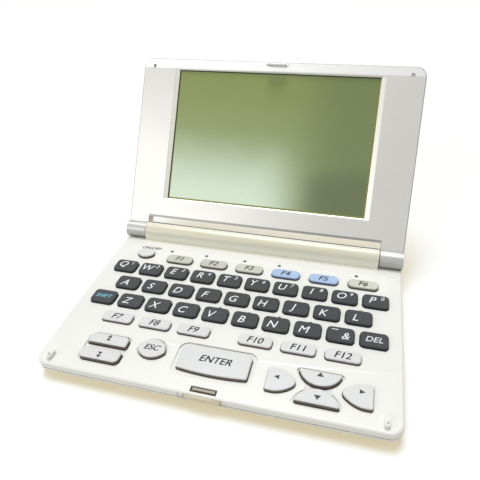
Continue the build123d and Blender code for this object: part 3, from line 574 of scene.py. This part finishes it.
def displayPattern(tree, base, rough):
    x, y = lidAxes(tree)[:2]
    size, tones, cells = displaySize, displayTones, displayCells
    green = displayGlow(tree, x, y)
    dotsAcross, dotsUp = (addMath(tree, "PINGPONG", axis, cells["pitch"] / 2) for axis in (x, y))
    lines = addMath(tree, "MINIMUM", dotsAcross, dotsUp)
    lines = product(tree, addRange(tree, lines, cells["width"], 0.0), cells["strength"])
    green = paintOver(tree, green, lines, tones["cell"])
    side, foot, soft = size["half"] - size["rim"], size["low"] + size["rim"], size["rimSoft"]
    sides = insideOf(tree, x, -side, side, soft)
    inner = product(tree, sides, addRange(tree, y, foot - soft, foot + soft))
    shown = addMix(tree, inner, colour(*tones["rim"]), green)
    # Painted shadow of the bezel on the left and top edges
    side, top, soft = size["bezelShadow"] - size["half"], size["high"] - size["bezelShadow"], size["bezelShadowSoft"]
    beside = addRange(tree, x, side - soft, side + soft)
    below = addRange(tree, y, top + soft, top - soft)
    return addMix(tree, product(tree, beside, below), colour(*tones["bezelShadow"]), shown), rough


# Cells: steel cans in a two-tone sleeve
cellPaint = {"colour": (44, 52, 66), "roughness": 0.3, "metallic": 0.5, "grain": 0.05}
cellTrim = {
    "steel": (190, 190, 186),
    "band": (196, 176, 120),
    "length": 43.3 * mm,
    "nub": 1.2 * mm,
    "gap": 0.3 * mm,
    "bareFoot": 0.8 * mm,
    "bareHead": 0.9 * mm,
    "bandWidth": 9.0 * mm,
    "middle": 0.1 * mm,
    "soft": 0.05 * mm,
}


def cellPattern(tree, base, rough):
    x = placeAxes(tree)[0]
    cell = cellTrim
    # Both cells read the same way round, from their flat end
    left, right = -cell["length"] - cell["nub"] - cell["gap"], cell["gap"]
    onRight = addRange(tree, x, -cell["middle"], cell["middle"])
    start = addMath(tree, "ADD", left, product(tree, onRight, right - left))
    along = addMath(tree, "SUBTRACT", x, start)
    sleeve = insideOf(tree, along, cell["bareFoot"], cell["length"] - cell["bareHead"], cell["soft"])
    bandStart = cell["length"] - cell["bandWidth"]
    band = addRange(tree, along, bandStart, bandStart + 2 * cell["soft"])
    jacket = paintOver(tree, base, band, cell["band"])
    return addMix(tree, sleeve, colour(*cell["steel"]), jacket), rough


# Board: green mask over faint copper lines, with dark chips
boardPaint = {"colour": (30, 104, 58), "roughness": 0.35, "coat": 0.4, "grain": 0.08, "size": 0.6 * mm}
boardTrim = {
    "copper": (70, 140, 84),
    "copperStrength": 0.6,
    "trackScale": 160.0,
    "trackWidth": 0.05,
    "chip": (28, 29, 32),
    "chipDepth": 1.25 * mm,
    "soft": 0.05 * mm,
}


def boardPattern(tree, base, rough):
    black, white = (0, 0, 0, 1), (1, 1, 1, 1)
    values = {
        "Vector": objectPlace(tree),
        "Scale": boardTrim["trackScale"],
        "Color1": black,
        "Color2": black,
        "Mortar": white,
        "Mortar Size": boardTrim["trackWidth"],
    }
    tracks = addNode(tree, "ShaderNodeTexBrick", values).outputs[0]
    lined = paintOver(tree, base, product(tree, tracks, boardTrim["copperStrength"]), boardTrim["copper"])
    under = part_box("main_board")[0].z + boardTrim["chipDepth"]
    chips = addRange(tree, placeAxes(tree)[2], under, under - boardTrim["soft"])
    return paintOver(tree, lined, chips, boardTrim["chip"]), rough


# Keys: the sides of a cap darken towards its opening, partly as the bare moulding and partly as painted shade
# of the gap
keyCharcoal = {
    "colour": (51, 53, 55),
    "roughness": 0.55,
    "specular": 0.4,
    "grain": 0.22,
    "cloud": 0.08,
    "size": 0.16 * mm,
    "relief": 0.012 * mm,
    "radius": 0.16 * mm,
    "wear": 0.35,
    "bare": (92, 94, 102),
    "gapDustAndShade": 0.15,
    "gapDustAndShadeTone": (44, 40, 38),
}
keySatin = {"roughness": 0.34, "grain": 0.12, "radius": 0.16 * mm, "wear": 0.2}
keySilver = {**keySatin, "colour": (181, 182, 173), "metallic": 0.3, "gapDustAndShadeTone": (92, 80, 64)}
keyBlue = {**keySatin, "colour": (160, 184, 218), "metallic": 0.15, "gapDustAndShadeTone": (80, 76, 74)}
keyPale = {
    "colour": (218, 219, 218),
    "roughness": 0.32,
    "coat": 0.2,
    "grain": 0.06,
    "radius": 0.18 * mm,
    "gapDustAndShadeTone": (96, 84, 68),
}
# Upright sides painted darker low down: partly the bare moulding, partly painted shade
skirt = {
    "top": 1.35 * mm,
    "bottom": 0.5 * mm,
    "strength": 0.95,
    "steep": (0.75, 0.35),
    "keyCharcoal": (22, 20, 22),
    "keySilver": (82, 74, 62),
    "keyBlue": (64, 66, 78),
    "keyPale": (88, 76, 64),
}


def skirtPattern(tone):
    def pattern(tree, base, rough):
        facing = addNode(tree, "ShaderNodeTexCoord").outputs["Normal"]
        facing = addNode(tree, "ShaderNodeSeparateXYZ", {0: facing}).outputs[2]
        upright = addRange(tree, addMath(tree, "ABSOLUTE", facing), *skirt["steep"])
        # Painted darkening of the upright sides near the deck, partly painted shade
        low = addRange(tree, placeAxes(tree)[2], deckTop + skirt["top"], deckTop + skirt["bottom"])
        return paintOver(tree, base, product(tree, upright, low, skirt["strength"]), tone), rough

    return pattern


plainPaints = {
    "matRubber": {"colour": (172, 172, 170), "roughness": 0.75, "grain": 0.12, "relief": 0.02 * mm},
    "footRubber": {
        "colour": (52, 52, 54),
        "roughness": 0.8,
        "grain": 0.3,
        "size": 0.25 * mm,
        "relief": 0.04 * mm,
        "gapDustAndShade": 0.4,
    },
    "steel": {"colour": (190, 188, 184), "roughness": 0.26, "metallic": 1.0, "grain": 0.08, "cloud": 0.1},
}
finishes = {
    "casePearl": makeFinish("casePearl", casePaint, casePattern),
    "latchCream": makeFinish("latchCream", latchPaint, latchPattern),
    "lidSilver": makeFinish("lidSilver", lidPaint, lidPattern),
    "keyCharcoal": makeFinish("keyCharcoal", keyCharcoal, skirtPattern(skirt["keyCharcoal"])),
    "keySilver": makeFinish("keySilver", keySilver, skirtPattern(skirt["keySilver"])),
    "keyBlue": makeFinish("keyBlue", keyBlue, skirtPattern(skirt["keyBlue"])),
    "keyPale": makeFinish("keyPale", keyPale, skirtPattern(skirt["keyPale"])),
    "displayGreen": makeFinish("displayGreen", displayPaint, displayPattern),
    "cellSleeve": makeFinish("cellSleeve", cellPaint, cellPattern),
    "boardGreen": makeFinish("boardGreen", boardPaint, boardPattern),
}
finishes.update({name: makeFinish(name, paint) for name, paint in plainPaints.items()})
print("finishes made:", len(finishes))

nodeFinishes = {
    "upper_case": "casePearl",
    "lower_case": "casePearl",
    "battery_door": "casePearl",
    "latch_button": "latchCream",
    "lid_bezel": "lidSilver",
    "lid_cover": "lidSilver",
    "display_panel": "displayGreen",
    "battery_cells": "cellSleeve",
    "main_board": "boardGreen",
    "key_mat": "matRubber",
    "rubber_feet": "footRubber",
    "hinge_pins": "steel",
    "key_function_4": "keyBlue",
    "key_function_5": "keyBlue",
}
paleKeys = (
    "key_option",
    "key_power",
    "key_enter",
    "key_back",
    "key_left",
    "key_right",
    "page_rocker",
    "cursor_rocker",
)


def finishOf(name):
    if name in nodeFinishes:
        return nodeFinishes[name]
    if name.startswith(paleKeys):
        return "keyPale"
    return "keySilver" if name.startswith("key_function") else "keyCharcoal"


for name, node in nodes.items():
    node.data.materials.clear()
    node.data.materials.append(finishes[finishOf(name)])
print("finishes on", len(nodes), "CAD nodes")


def meshFrom(bm, name):
    mesh = bpy.data.meshes.new(name)
    bm.to_mesh(mesh)
    bm.free()
    return mesh


def placeMesh(name, mesh, body, material):
    mesh.name = name
    piece = bpy.data.objects.new(name, mesh)
    bpy.context.scene.collection.objects.link(piece)
    piece.data.materials.clear()
    piece.data.materials.append(material)
    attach(piece, body)


# Printed marks: thin inks on the keys and the deck, each riding on what it is printed on
inkBase = {"roughness": 0.45, "gapDustAndShade": 0.0, "radius": 0.02 * mm}
inkPaints = {
    "inkWhite": {"colour": (240, 242, 244), "grain": 0.05, **inkBase},
    "inkDark": {"colour": (34, 30, 34), "grain": 0.1, **inkBase},
    "inkGreen": {"colour": (38, 92, 84), "grain": 0.1, **inkBase},
    "inkCyan": {"colour": (120, 214, 232), "grain": 0.05, **inkBase},
}
inks = {name: makeFinish(name, paint) for name, paint in inkPaints.items()}
printing = {
    "thickness": 0.024 * mm,
    "sunk": 0.006 * mm,
    "slant": 0.28,
    "resolution": 5,
    "stout": 0.1 * mm,
    "weld": 1e-7,
}


# A word as a thin closed mesh, its middle on the spot
def wordMesh(bm, text, size, spot):
    line = bpy.data.curves.new("word", "FONT")
    line.body = text
    line.size = size
    line.shear = printing["slant"]
    line.align_x = "CENTER"
    line.align_y = "CENTER"
    line.resolution_u = printing["resolution"]
    line.extrude = printing["thickness"] / 2
    holder = bpy.data.objects.new("word", line)
    bpy.context.scene.collection.objects.link(holder)
    bpy.context.view_layer.update()
    flat = bpy.data.meshes.new_from_object(holder.evaluated_get(bpy.context.evaluated_depsgraph_get()))
    bpy.data.objects.remove(holder)
    bpy.data.curves.remove(line)
    width = [v.co.x for v in flat.vertices]
    height = [v.co.y for v in flat.vertices]
    middle = Vector(((min(width) + max(width)) / 2, (min(height) + max(height)) / 2, 0))
    flat.transform(Matrix.Translation(spot - middle))
    bm.from_mesh(flat)
    bpy.data.meshes.remove(flat)


# The same word printed twice, a little apart, for a stouter stroke
def stoutWord(bm, text, size, spot):
    for side in (-1, 1):
        apart = Vector((side * printing["stout"], side * printing["stout"] / 2, 0))
        wordMesh(bm, text, size, spot + apart)


def triangleMesh(bm, radius, spot, turn, stretch):
    shape = Matrix.Translation(spot) @ Matrix.Rotation(turn, 4, "Z") @ Matrix.Diagonal((stretch, 1, 1, 1))
    bmesh.ops.create_cone(
        bm,
        cap_ends=True,
        segments=3,
        radius1=radius,
        radius2=radius,
        depth=printing["thickness"],
        matrix=shape,
    )


def finishPrint(bm, name, body, ink):
    bmesh.ops.remove_doubles(bm, verts=bm.verts, dist=printing["weld"])
    bmesh.ops.recalc_face_normals(bm, faces=bm.faces)
    placeMesh(name, meshFrom(bm, name), body, inks[ink])


# Where a mark goes: so far from a key's middle, on its own top or on the deck
def printSpot(name, across, up, onDeck=False):
    low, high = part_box(name)
    top = (deckTop if onDeck else high.z) + printing["thickness"] / 2 - printing["sunk"]
    return Vector(((low.x + high.x) / 2 + across, (low.y + high.y) / 2 + up, top))


# Letters stand left of each cap's middle, slanted; the top row also carries plain numbers
letterPrint = {"size": 5.7 * mm, "left": -1.4 * mm, "up": -0.6 * mm, "topRowUp": 0.4 * mm}
numberPrint = {"size": 3.1 * mm, "left": 3.0 * mm, "up": 1.9 * mm}
plainPrint = {"size": 4.7 * mm, "up": 0.1 * mm}
topRow = "qwertyuiop"
# Each word: its text, size, and place across and up from the cap's middle
keyWords = {
    "key_dash": [("\u2013", 5.6 * mm, -2.5 * mm, 2.4 * mm), ("&", 5.4 * mm, 2.3 * mm, -0.7 * mm)],
    "key_shift": [("SHIFT", 3.1 * mm, 0.0, 0.0)],
    "key_delete": [("DEL", 4.2 * mm, 0.0, 0.0)],
    "key_enter": [("ENTER", 4.6 * mm, 0.4 * mm, 0.8 * mm)],
    "key_back": [("ESC", 4.0 * mm, 0.2 * mm, 0.2 * mm)],
}


def addKeyWords():
    for number in range(1, 7):
        for kind, shift in (("function", 0), ("option", 6)):
            word = ("F%d" % (number + shift), plainPrint["size"], 0.0, plainPrint["up"])
            keyWords["key_%s_%d" % (kind, number)] = [word]
    for name in nodes:
        if name.startswith("key_") and len(name) == len("key_a"):
            rise = letterPrint["topRowUp" if name[-1] in topRow else "up"]
            keyWords[name] = [(name[-1].upper(), letterPrint["size"], letterPrint["left"], rise)]
    for number, letter in enumerate(topRow, 1):
        word = (str(number % 10), numberPrint["size"], numberPrint["left"], numberPrint["up"])
        keyWords["key_" + letter].append(word)


def inkOf(name):
    if finishOf(name) == "keyCharcoal":
        return "inkCyan" if name == "key_shift" else "inkWhite"
    return "inkDark"


addKeyWords()
for name, words in keyWords.items():
    ink = inkOf(name)
    makeWord = stoutWord if ink == "inkDark" else wordMesh
    bm = bmesh.new()
    for text, size, across, up in words:
        makeWord(bm, text, size, printSpot(name, across, up))
    finishPrint(bm, "legend_" + name[4:], name, ink)
print("key legends:", len(keyWords))

# Arrows on the cursor keys and the page rocker
arrows = {
    "radius": 1.4 * mm,
    "up": 5.6 * mm,
    "down": -4.4 * mm,
    "left": (-1.5 * mm, 1.1 * mm),
    "right": (1.2 * mm, 1.5 * mm),
    "stretch": 1.15,
    "pageRadius": 1.05 * mm,
    "pageUp": 4.6 * mm,
    "pageDown": -4.4 * mm,
    "pageStep": 1.6 * mm,
}


def makeArrows():
    bm = bmesh.new()
    for side, turn in (("up", 0), ("down", pi)):
        spot = printSpot("cursor_rocker", 0.0, arrows[side])
        triangleMesh(bm, arrows["radius"], spot, turn, arrows["stretch"])
    finishPrint(bm, "cursor_marks", "cursor_rocker", "inkDark")
    for side, turn in (("left", pi / 2), ("right", -pi / 2)):
        bm = bmesh.new()
        spot = printSpot("key_" + side, *arrows[side])
        triangleMesh(bm, arrows["radius"], spot, turn, 1 / arrows["stretch"])
        finishPrint(bm, side + "_mark", "key_" + side, "inkDark")
    bm = bmesh.new()
    for side, turn in (("pageUp", 0), ("pageDown", pi)):
        for step in (-0.5, 0.5):
            spot = printSpot("page_rocker", 0.0, arrows[side] + step * arrows["pageStep"])
            triangleMesh(bm, arrows["pageRadius"], spot, turn, arrows["stretch"])
    finishPrint(bm, "page_marks", "page_rocker", "inkDark")


makeArrows()

# On the deck: a green dot by some function keys, the power mark, and signs for reckoning
deckPrint = {
    "dotRadius": 0.9 * mm,
    "dotSides": 20,
    "dotLeft": {1: -7.0 * mm, 2: -6.2 * mm, 3: -4.0 * mm, 4: -4.5 * mm, 6: -3.4 * mm},
    "dotUp": 6.7 * mm,
    "powerSize": 2.9 * mm,
    "powerUp": 5.7 * mm,
    "powerRight": 0.9 * mm,
    "signs": {"key_v": "+", "key_b": "\u2013", "key_n": "\u00d7", "key_m": "\u00f7", "key_l": "="},
    "signSize": 3.0 * mm,
    "signUp": 5.35 * mm,
    "signRight": 0.6 * mm,
}


def makeDeckPrint():
    bm = bmesh.new()
    for number, left in deckPrint["dotLeft"].items():
        spot = printSpot("key_function_%d" % number, left, deckPrint["dotUp"], onDeck=True)
        bmesh.ops.create_cone(
            bm,
            cap_ends=True,
            segments=deckPrint["dotSides"],
            radius1=deckPrint["dotRadius"],
            radius2=deckPrint["dotRadius"],
            depth=printing["thickness"],
            matrix=Matrix.Translation(spot),
        )
    finishPrint(bm, "function_dots", "base", "inkGreen")
    bm = bmesh.new()
    spot = printSpot("key_power", deckPrint["powerRight"], deckPrint["powerUp"], onDeck=True)
    stoutWord(bm, "ON/OFF", deckPrint["powerSize"], spot)
    finishPrint(bm, "power_word", "base", "inkDark")
    bm = bmesh.new()
    for name, sign in deckPrint["signs"].items():
        spot = printSpot(name, deckPrint["signRight"], deckPrint["signUp"], onDeck=True)
        stoutWord(bm, sign, deckPrint["signSize"], spot)
    finishPrint(bm, "reckoning_signs", "base", "inkDark")


makeDeckPrint()
print("marks printed")

# Cross-head screws in the four counterbores of the underside
screws = {
    "rings": [(1.25 * mm, 1.1 * mm), (1.62 * mm, 0.98 * mm), (1.8 * mm, 0.7 * mm), (1.8 * mm, 0.0)],
    "sides": 28,
    "arm": 0.95 * mm,
    "slot": 0.24 * mm,
    "recess": 0.6 * mm,
    "taper": 0.55,
    "turn": 0.5,
    "seat": 1.55 * mm,
    "x": 69.0 * mm,
    "latchProud": 1.1 * mm,
    "front": 27.5 * mm,
    "rear": 82.0 * mm,
}


# The next ring of a turned or tapered shape, drawn from the last one
def nextRing(bm, ring, scale, rise):
    grown = bmesh.ops.extrude_edge_only(bm, edges=ring)["geom"]
    verts = {item for item in grown if isinstance(item, bmesh.types.BMVert)}
    bmesh.ops.scale(bm, verts=list(verts), vec=(scale, scale, 1))
    bmesh.ops.translate(bm, verts=list(verts), vec=(0, 0, rise))
    edges = [item for item in grown if isinstance(item, bmesh.types.BMEdge)]
    return [edge for edge in edges if verts.issuperset(edge.verts)]


def crossRing(bm, top):
    arm, slot = screws["arm"], screws["slot"]
    corner = [(arm, -slot), (arm, slot), (slot, slot)]
    turns = ((1, 0), (0, 1), (-1, 0), (0, -1))
    points = [(x * c - y * s, x * s + y * c, top) for c, s in turns for x, y in corner]
    verts = [bm.verts.new(point) for point in points]
    return [bm.edges.new((before, after)) for before, after in zip(verts, verts[1:] + verts[:1])]


def screwMesh():
    bm = bmesh.new()
    radius, top = screws["rings"][0]
    start = Matrix.Translation((0, 0, top))
    circle = bmesh.ops.create_circle(bm, segments=screws["sides"], radius=radius, matrix=start)["verts"]
    rim = ring = list({edge for vert in circle for edge in vert.link_edges})
    height = top
    for wider, lower in screws["rings"][1:]:
        ring = nextRing(bm, ring, wider / radius, lower - height)
        radius, height = wider, lower
    bmesh.ops.edgeloop_fill(bm, edges=ring)
    mouth = crossRing(bm, top)
    bmesh.ops.edgeloop_fill(bm, edges=nextRing(bm, mouth, screws["taper"], -screws["recess"]))
    bmesh.ops.triangle_fill(bm, use_beauty=True, edges=rim + mouth)
    bmesh.ops.recalc_face_normals(bm, faces=bm.faces)
    return bm


def makeScrews():
    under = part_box("lower_case")[0].z
    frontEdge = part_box("latch_button")[0].y + screws["latchProud"]
    corners = ((-1, "front"), (1, "front"), (-1, "rear"), (1, "rear"))
    for number, (side, back) in enumerate(corners, 1):
        bm = screwMesh()
        turn = Matrix.Rotation(pi, 4, "X") @ Matrix.Rotation(screws["turn"] * number, 4, "Z")
        bmesh.ops.transform(bm, matrix=turn, verts=bm.verts)
        spot = Vector((side * screws["x"], frontEdge + screws[back], under + screws["seat"]))
        bmesh.ops.translate(bm, verts=bm.verts, vec=spot)
        placeMesh("screw_%d" % number, meshFrom(bm, "screw"), "base", finishes["steel"])


makeScrews()
print("screws in")

# A spring at the flat end of the cells, a plate at the other
contacts = {
    "wire": 0.28 * mm,
    "wireSides": 8,
    "wide": 3.6 * mm,
    "turns": 3,
    "steps": 20,
    "length": 2.3 * mm,
    "springGap": 0.3 * mm,
    "plate": 3.4 * mm,
    "plateSides": 24,
    "plateTip": 0.55,
    "plateDepth": 1.1 * mm,
    "plateGap": 0.6 * mm,
    "plateEdge": 0.12 * mm,
}


def makeSpring(spot):
    bm = bmesh.new()
    start = Matrix.Translation((0, contacts["wide"], 0))
    wire = bmesh.ops.create_circle(bm, segments=contacts["wireSides"], radius=contacts["wire"], matrix=start)
    verts = wire["verts"]
    steps = contacts["steps"] * contacts["turns"]
    bmesh.ops.spin(
        bm,
        geom=verts + list({edge for vert in verts for edge in vert.link_edges}),
        cent=(0, 0, 0),
        axis=(1, 0, 0),
        dvec=(contacts["length"] / steps, 0, 0),
        angle=2 * pi * contacts["turns"],
        steps=steps,
        use_merge=False,
        use_duplicate=False,
    )
    bmesh.ops.holes_fill(bm, edges=[edge for edge in bm.edges if edge.is_boundary], sides=0)
    bmesh.ops.recalc_face_normals(bm, faces=bm.faces)
    bmesh.ops.translate(bm, verts=bm.verts, vec=spot)
    placeMesh("cell_spring", meshFrom(bm, "cell_spring"), "base", finishes["steel"])


def makePlate(spot):
    bm = bmesh.new()
    bmesh.ops.create_cone(
        bm,
        cap_ends=True,
        segments=contacts["plateSides"],
        radius1=contacts["plate"],
        radius2=contacts["plate"] * contacts["plateTip"],
        depth=contacts["plateDepth"],
        matrix=Matrix.Translation(spot) @ Matrix.Rotation(pi / 2, 4, "Y"),
    )
    bmesh.ops.bevel(
        bm,
        geom=bm.edges[:],
        offset=contacts["plateEdge"],
        affect="EDGES",
        segments=2,
        profile=0.5,
        material=-1,
    )
    placeMesh("cell_plate", meshFrom(bm, "cell_plate"), "base", finishes["steel"])


def makeContacts():
    low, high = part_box("battery_cells")
    y, z = (low.y + high.y) / 2, (low.z + high.z) / 2
    makeSpring(Vector((low.x - contacts["length"] - contacts["springGap"], y, z)))
    makePlate(Vector((high.x + contacts["plateGap"], y, z)))


makeContacts()
print("battery contacts in")

# Floor: pale paper that looks white to the camera and keeps the shadow
studioFloor = {
    "size": 8.0,
    "cuts": 4,
    "colour": (228, 226, 220),
    "speckle": (200, 198, 190),
    "speckleScale": 900.0,
    "speckleStrength": 0.03,
    "roughness": 0.9,
    "specular": 0.1,
    "seenShade": (0.62, 0.76, 1.0, 1.0),
    "seenGlow": (0.4, 0.27, 0.01, 1.0),
}


def whiteToLens(tree):
    path = addNode(tree, "ShaderNodeLightPath").outputs
    seen = addMath(tree, "MAXIMUM", path["Is Camera Ray"], path["Is Glossy Ray"])
    return addMath(tree, "MAXIMUM", seen, path["Is Transmission Ray"])


def makeFloor():
    bm = bmesh.new()
    cuts = studioFloor["cuts"]
    bmesh.ops.create_grid(bm, x_segments=cuts, y_segments=cuts, size=studioFloor["size"] / 2)
    floor = bpy.data.objects.new("studio_floor", meshFrom(bm, "studio_floor"))
    bpy.context.scene.collection.objects.link(floor)
    material = bpy.data.materials.new("floorPaper")
    material.use_nodes = True
    tree = material.node_tree
    speckle = addNoise(tree, objectPlace(tree), studioFloor["speckleScale"])
    speckle = product(tree, speckle, studioFloor["speckleStrength"])
    toned = paintOver(tree, colour(*studioFloor["colour"]), speckle, studioFloor["speckle"])
    paper = tree.nodes["Principled BSDF"]
    values = {
        "Base Color": toned,
        "Roughness": studioFloor["roughness"],
        "Specular IOR Level": studioFloor["specular"],
    }
    setInputs(tree, paper, values)
    shade = addNode(tree, "ShaderNodeBsdfDiffuse", {"Color": studioFloor["seenShade"]})
    glow = addNode(tree, "ShaderNodeEmission", {"Color": studioFloor["seenGlow"], "Strength": 1.0})
    seen = addNode(tree, "ShaderNodeAddShader", {0: shade.outputs[0], 1: glow.outputs[0]})
    values = {0: whiteToLens(tree), 1: paper.outputs[0], 2: seen.outputs[0]}
    both = addNode(tree, "ShaderNodeMixShader", values)
    setInputs(tree, tree.nodes["Material Output"], {"Surface": both.outputs[0]})
    floor.data.materials.append(material)


# Light: a soft sky, a wide lamp overhead and a soft box at the front left
studioLight = {
    "sky": 0.36,
    "skyColour": (0.98, 0.99, 1.0, 1.0),
    "seenSky": (1, 1, 1, 1),
    "sun": 2.0,
    "sunSoftness": 30,
    "sunFrom": (-0.12, 0.24, 0.95),
    "box": 1.65,
    "boxSize": 0.5,
    "boxFrom": (-0.46, -0.68, 0.45),
}


def makeSky():
    world = bpy.data.worlds.new("studioWorld")
    bpy.context.scene.world = world
    world.use_nodes = True
    tree = world.node_tree
    soft = tree.nodes["Background"]
    setInputs(tree, soft, {"Color": studioLight["skyColour"], "Strength": studioLight["sky"]})
    white = addNode(tree, "ShaderNodeBackground", {"Color": studioLight["seenSky"], "Strength": 1.0})
    values = {0: whiteToLens(tree), 1: soft.outputs[0], 2: white.outputs[0]}
    both = addNode(tree, "ShaderNodeMixShader", values)
    setInputs(tree, tree.nodes["World Output"], {"Surface": both.outputs[0]})


def placeLamp(name, data, source):
    lamp = bpy.data.objects.new(name, data)
    lamp.rotation_euler = Vector(source).to_track_quat("Z", "Y").to_euler()
    bpy.context.scene.collection.objects.link(lamp)
    return lamp


def makeLamps():
    sun = bpy.data.lights.new("softLamp", "SUN")
    sun.energy = studioLight["sun"]
    sun.angle = radians(studioLight["sunSoftness"])
    placeLamp("softLamp", sun, studioLight["sunFrom"])
    softBox = bpy.data.lights.new("softBox", "AREA")
    softBox.energy = studioLight["box"]
    softBox.size = studioLight["boxSize"]
    placeLamp("softBox", softBox, studioLight["boxFrom"]).location = studioLight["boxFrom"]


view = {
    "place": (0.04745, -0.174387, 0.15957),
    "turn": (54.1106, 2.1772, 14.7823),
    "lens": 34.6861,
    "sensor": 36.0,
    "clipStart": 0.01,
}


def makeCamera():
    data = bpy.data.cameras.new("frontCamera")
    data.lens = view["lens"]
    data.sensor_width = view["sensor"]
    data.clip_start = view["clipStart"]
    camera = bpy.data.objects.new("frontCamera", data)
    camera.location = view["place"]
    camera.rotation_euler = [radians(angle) for angle in view["turn"]]
    bpy.context.scene.collection.objects.link(camera)
    bpy.context.scene.camera = camera


makeFloor()
makeSky()
makeLamps()
makeCamera()
bpy.context.scene.view_settings.view_transform = "Standard"
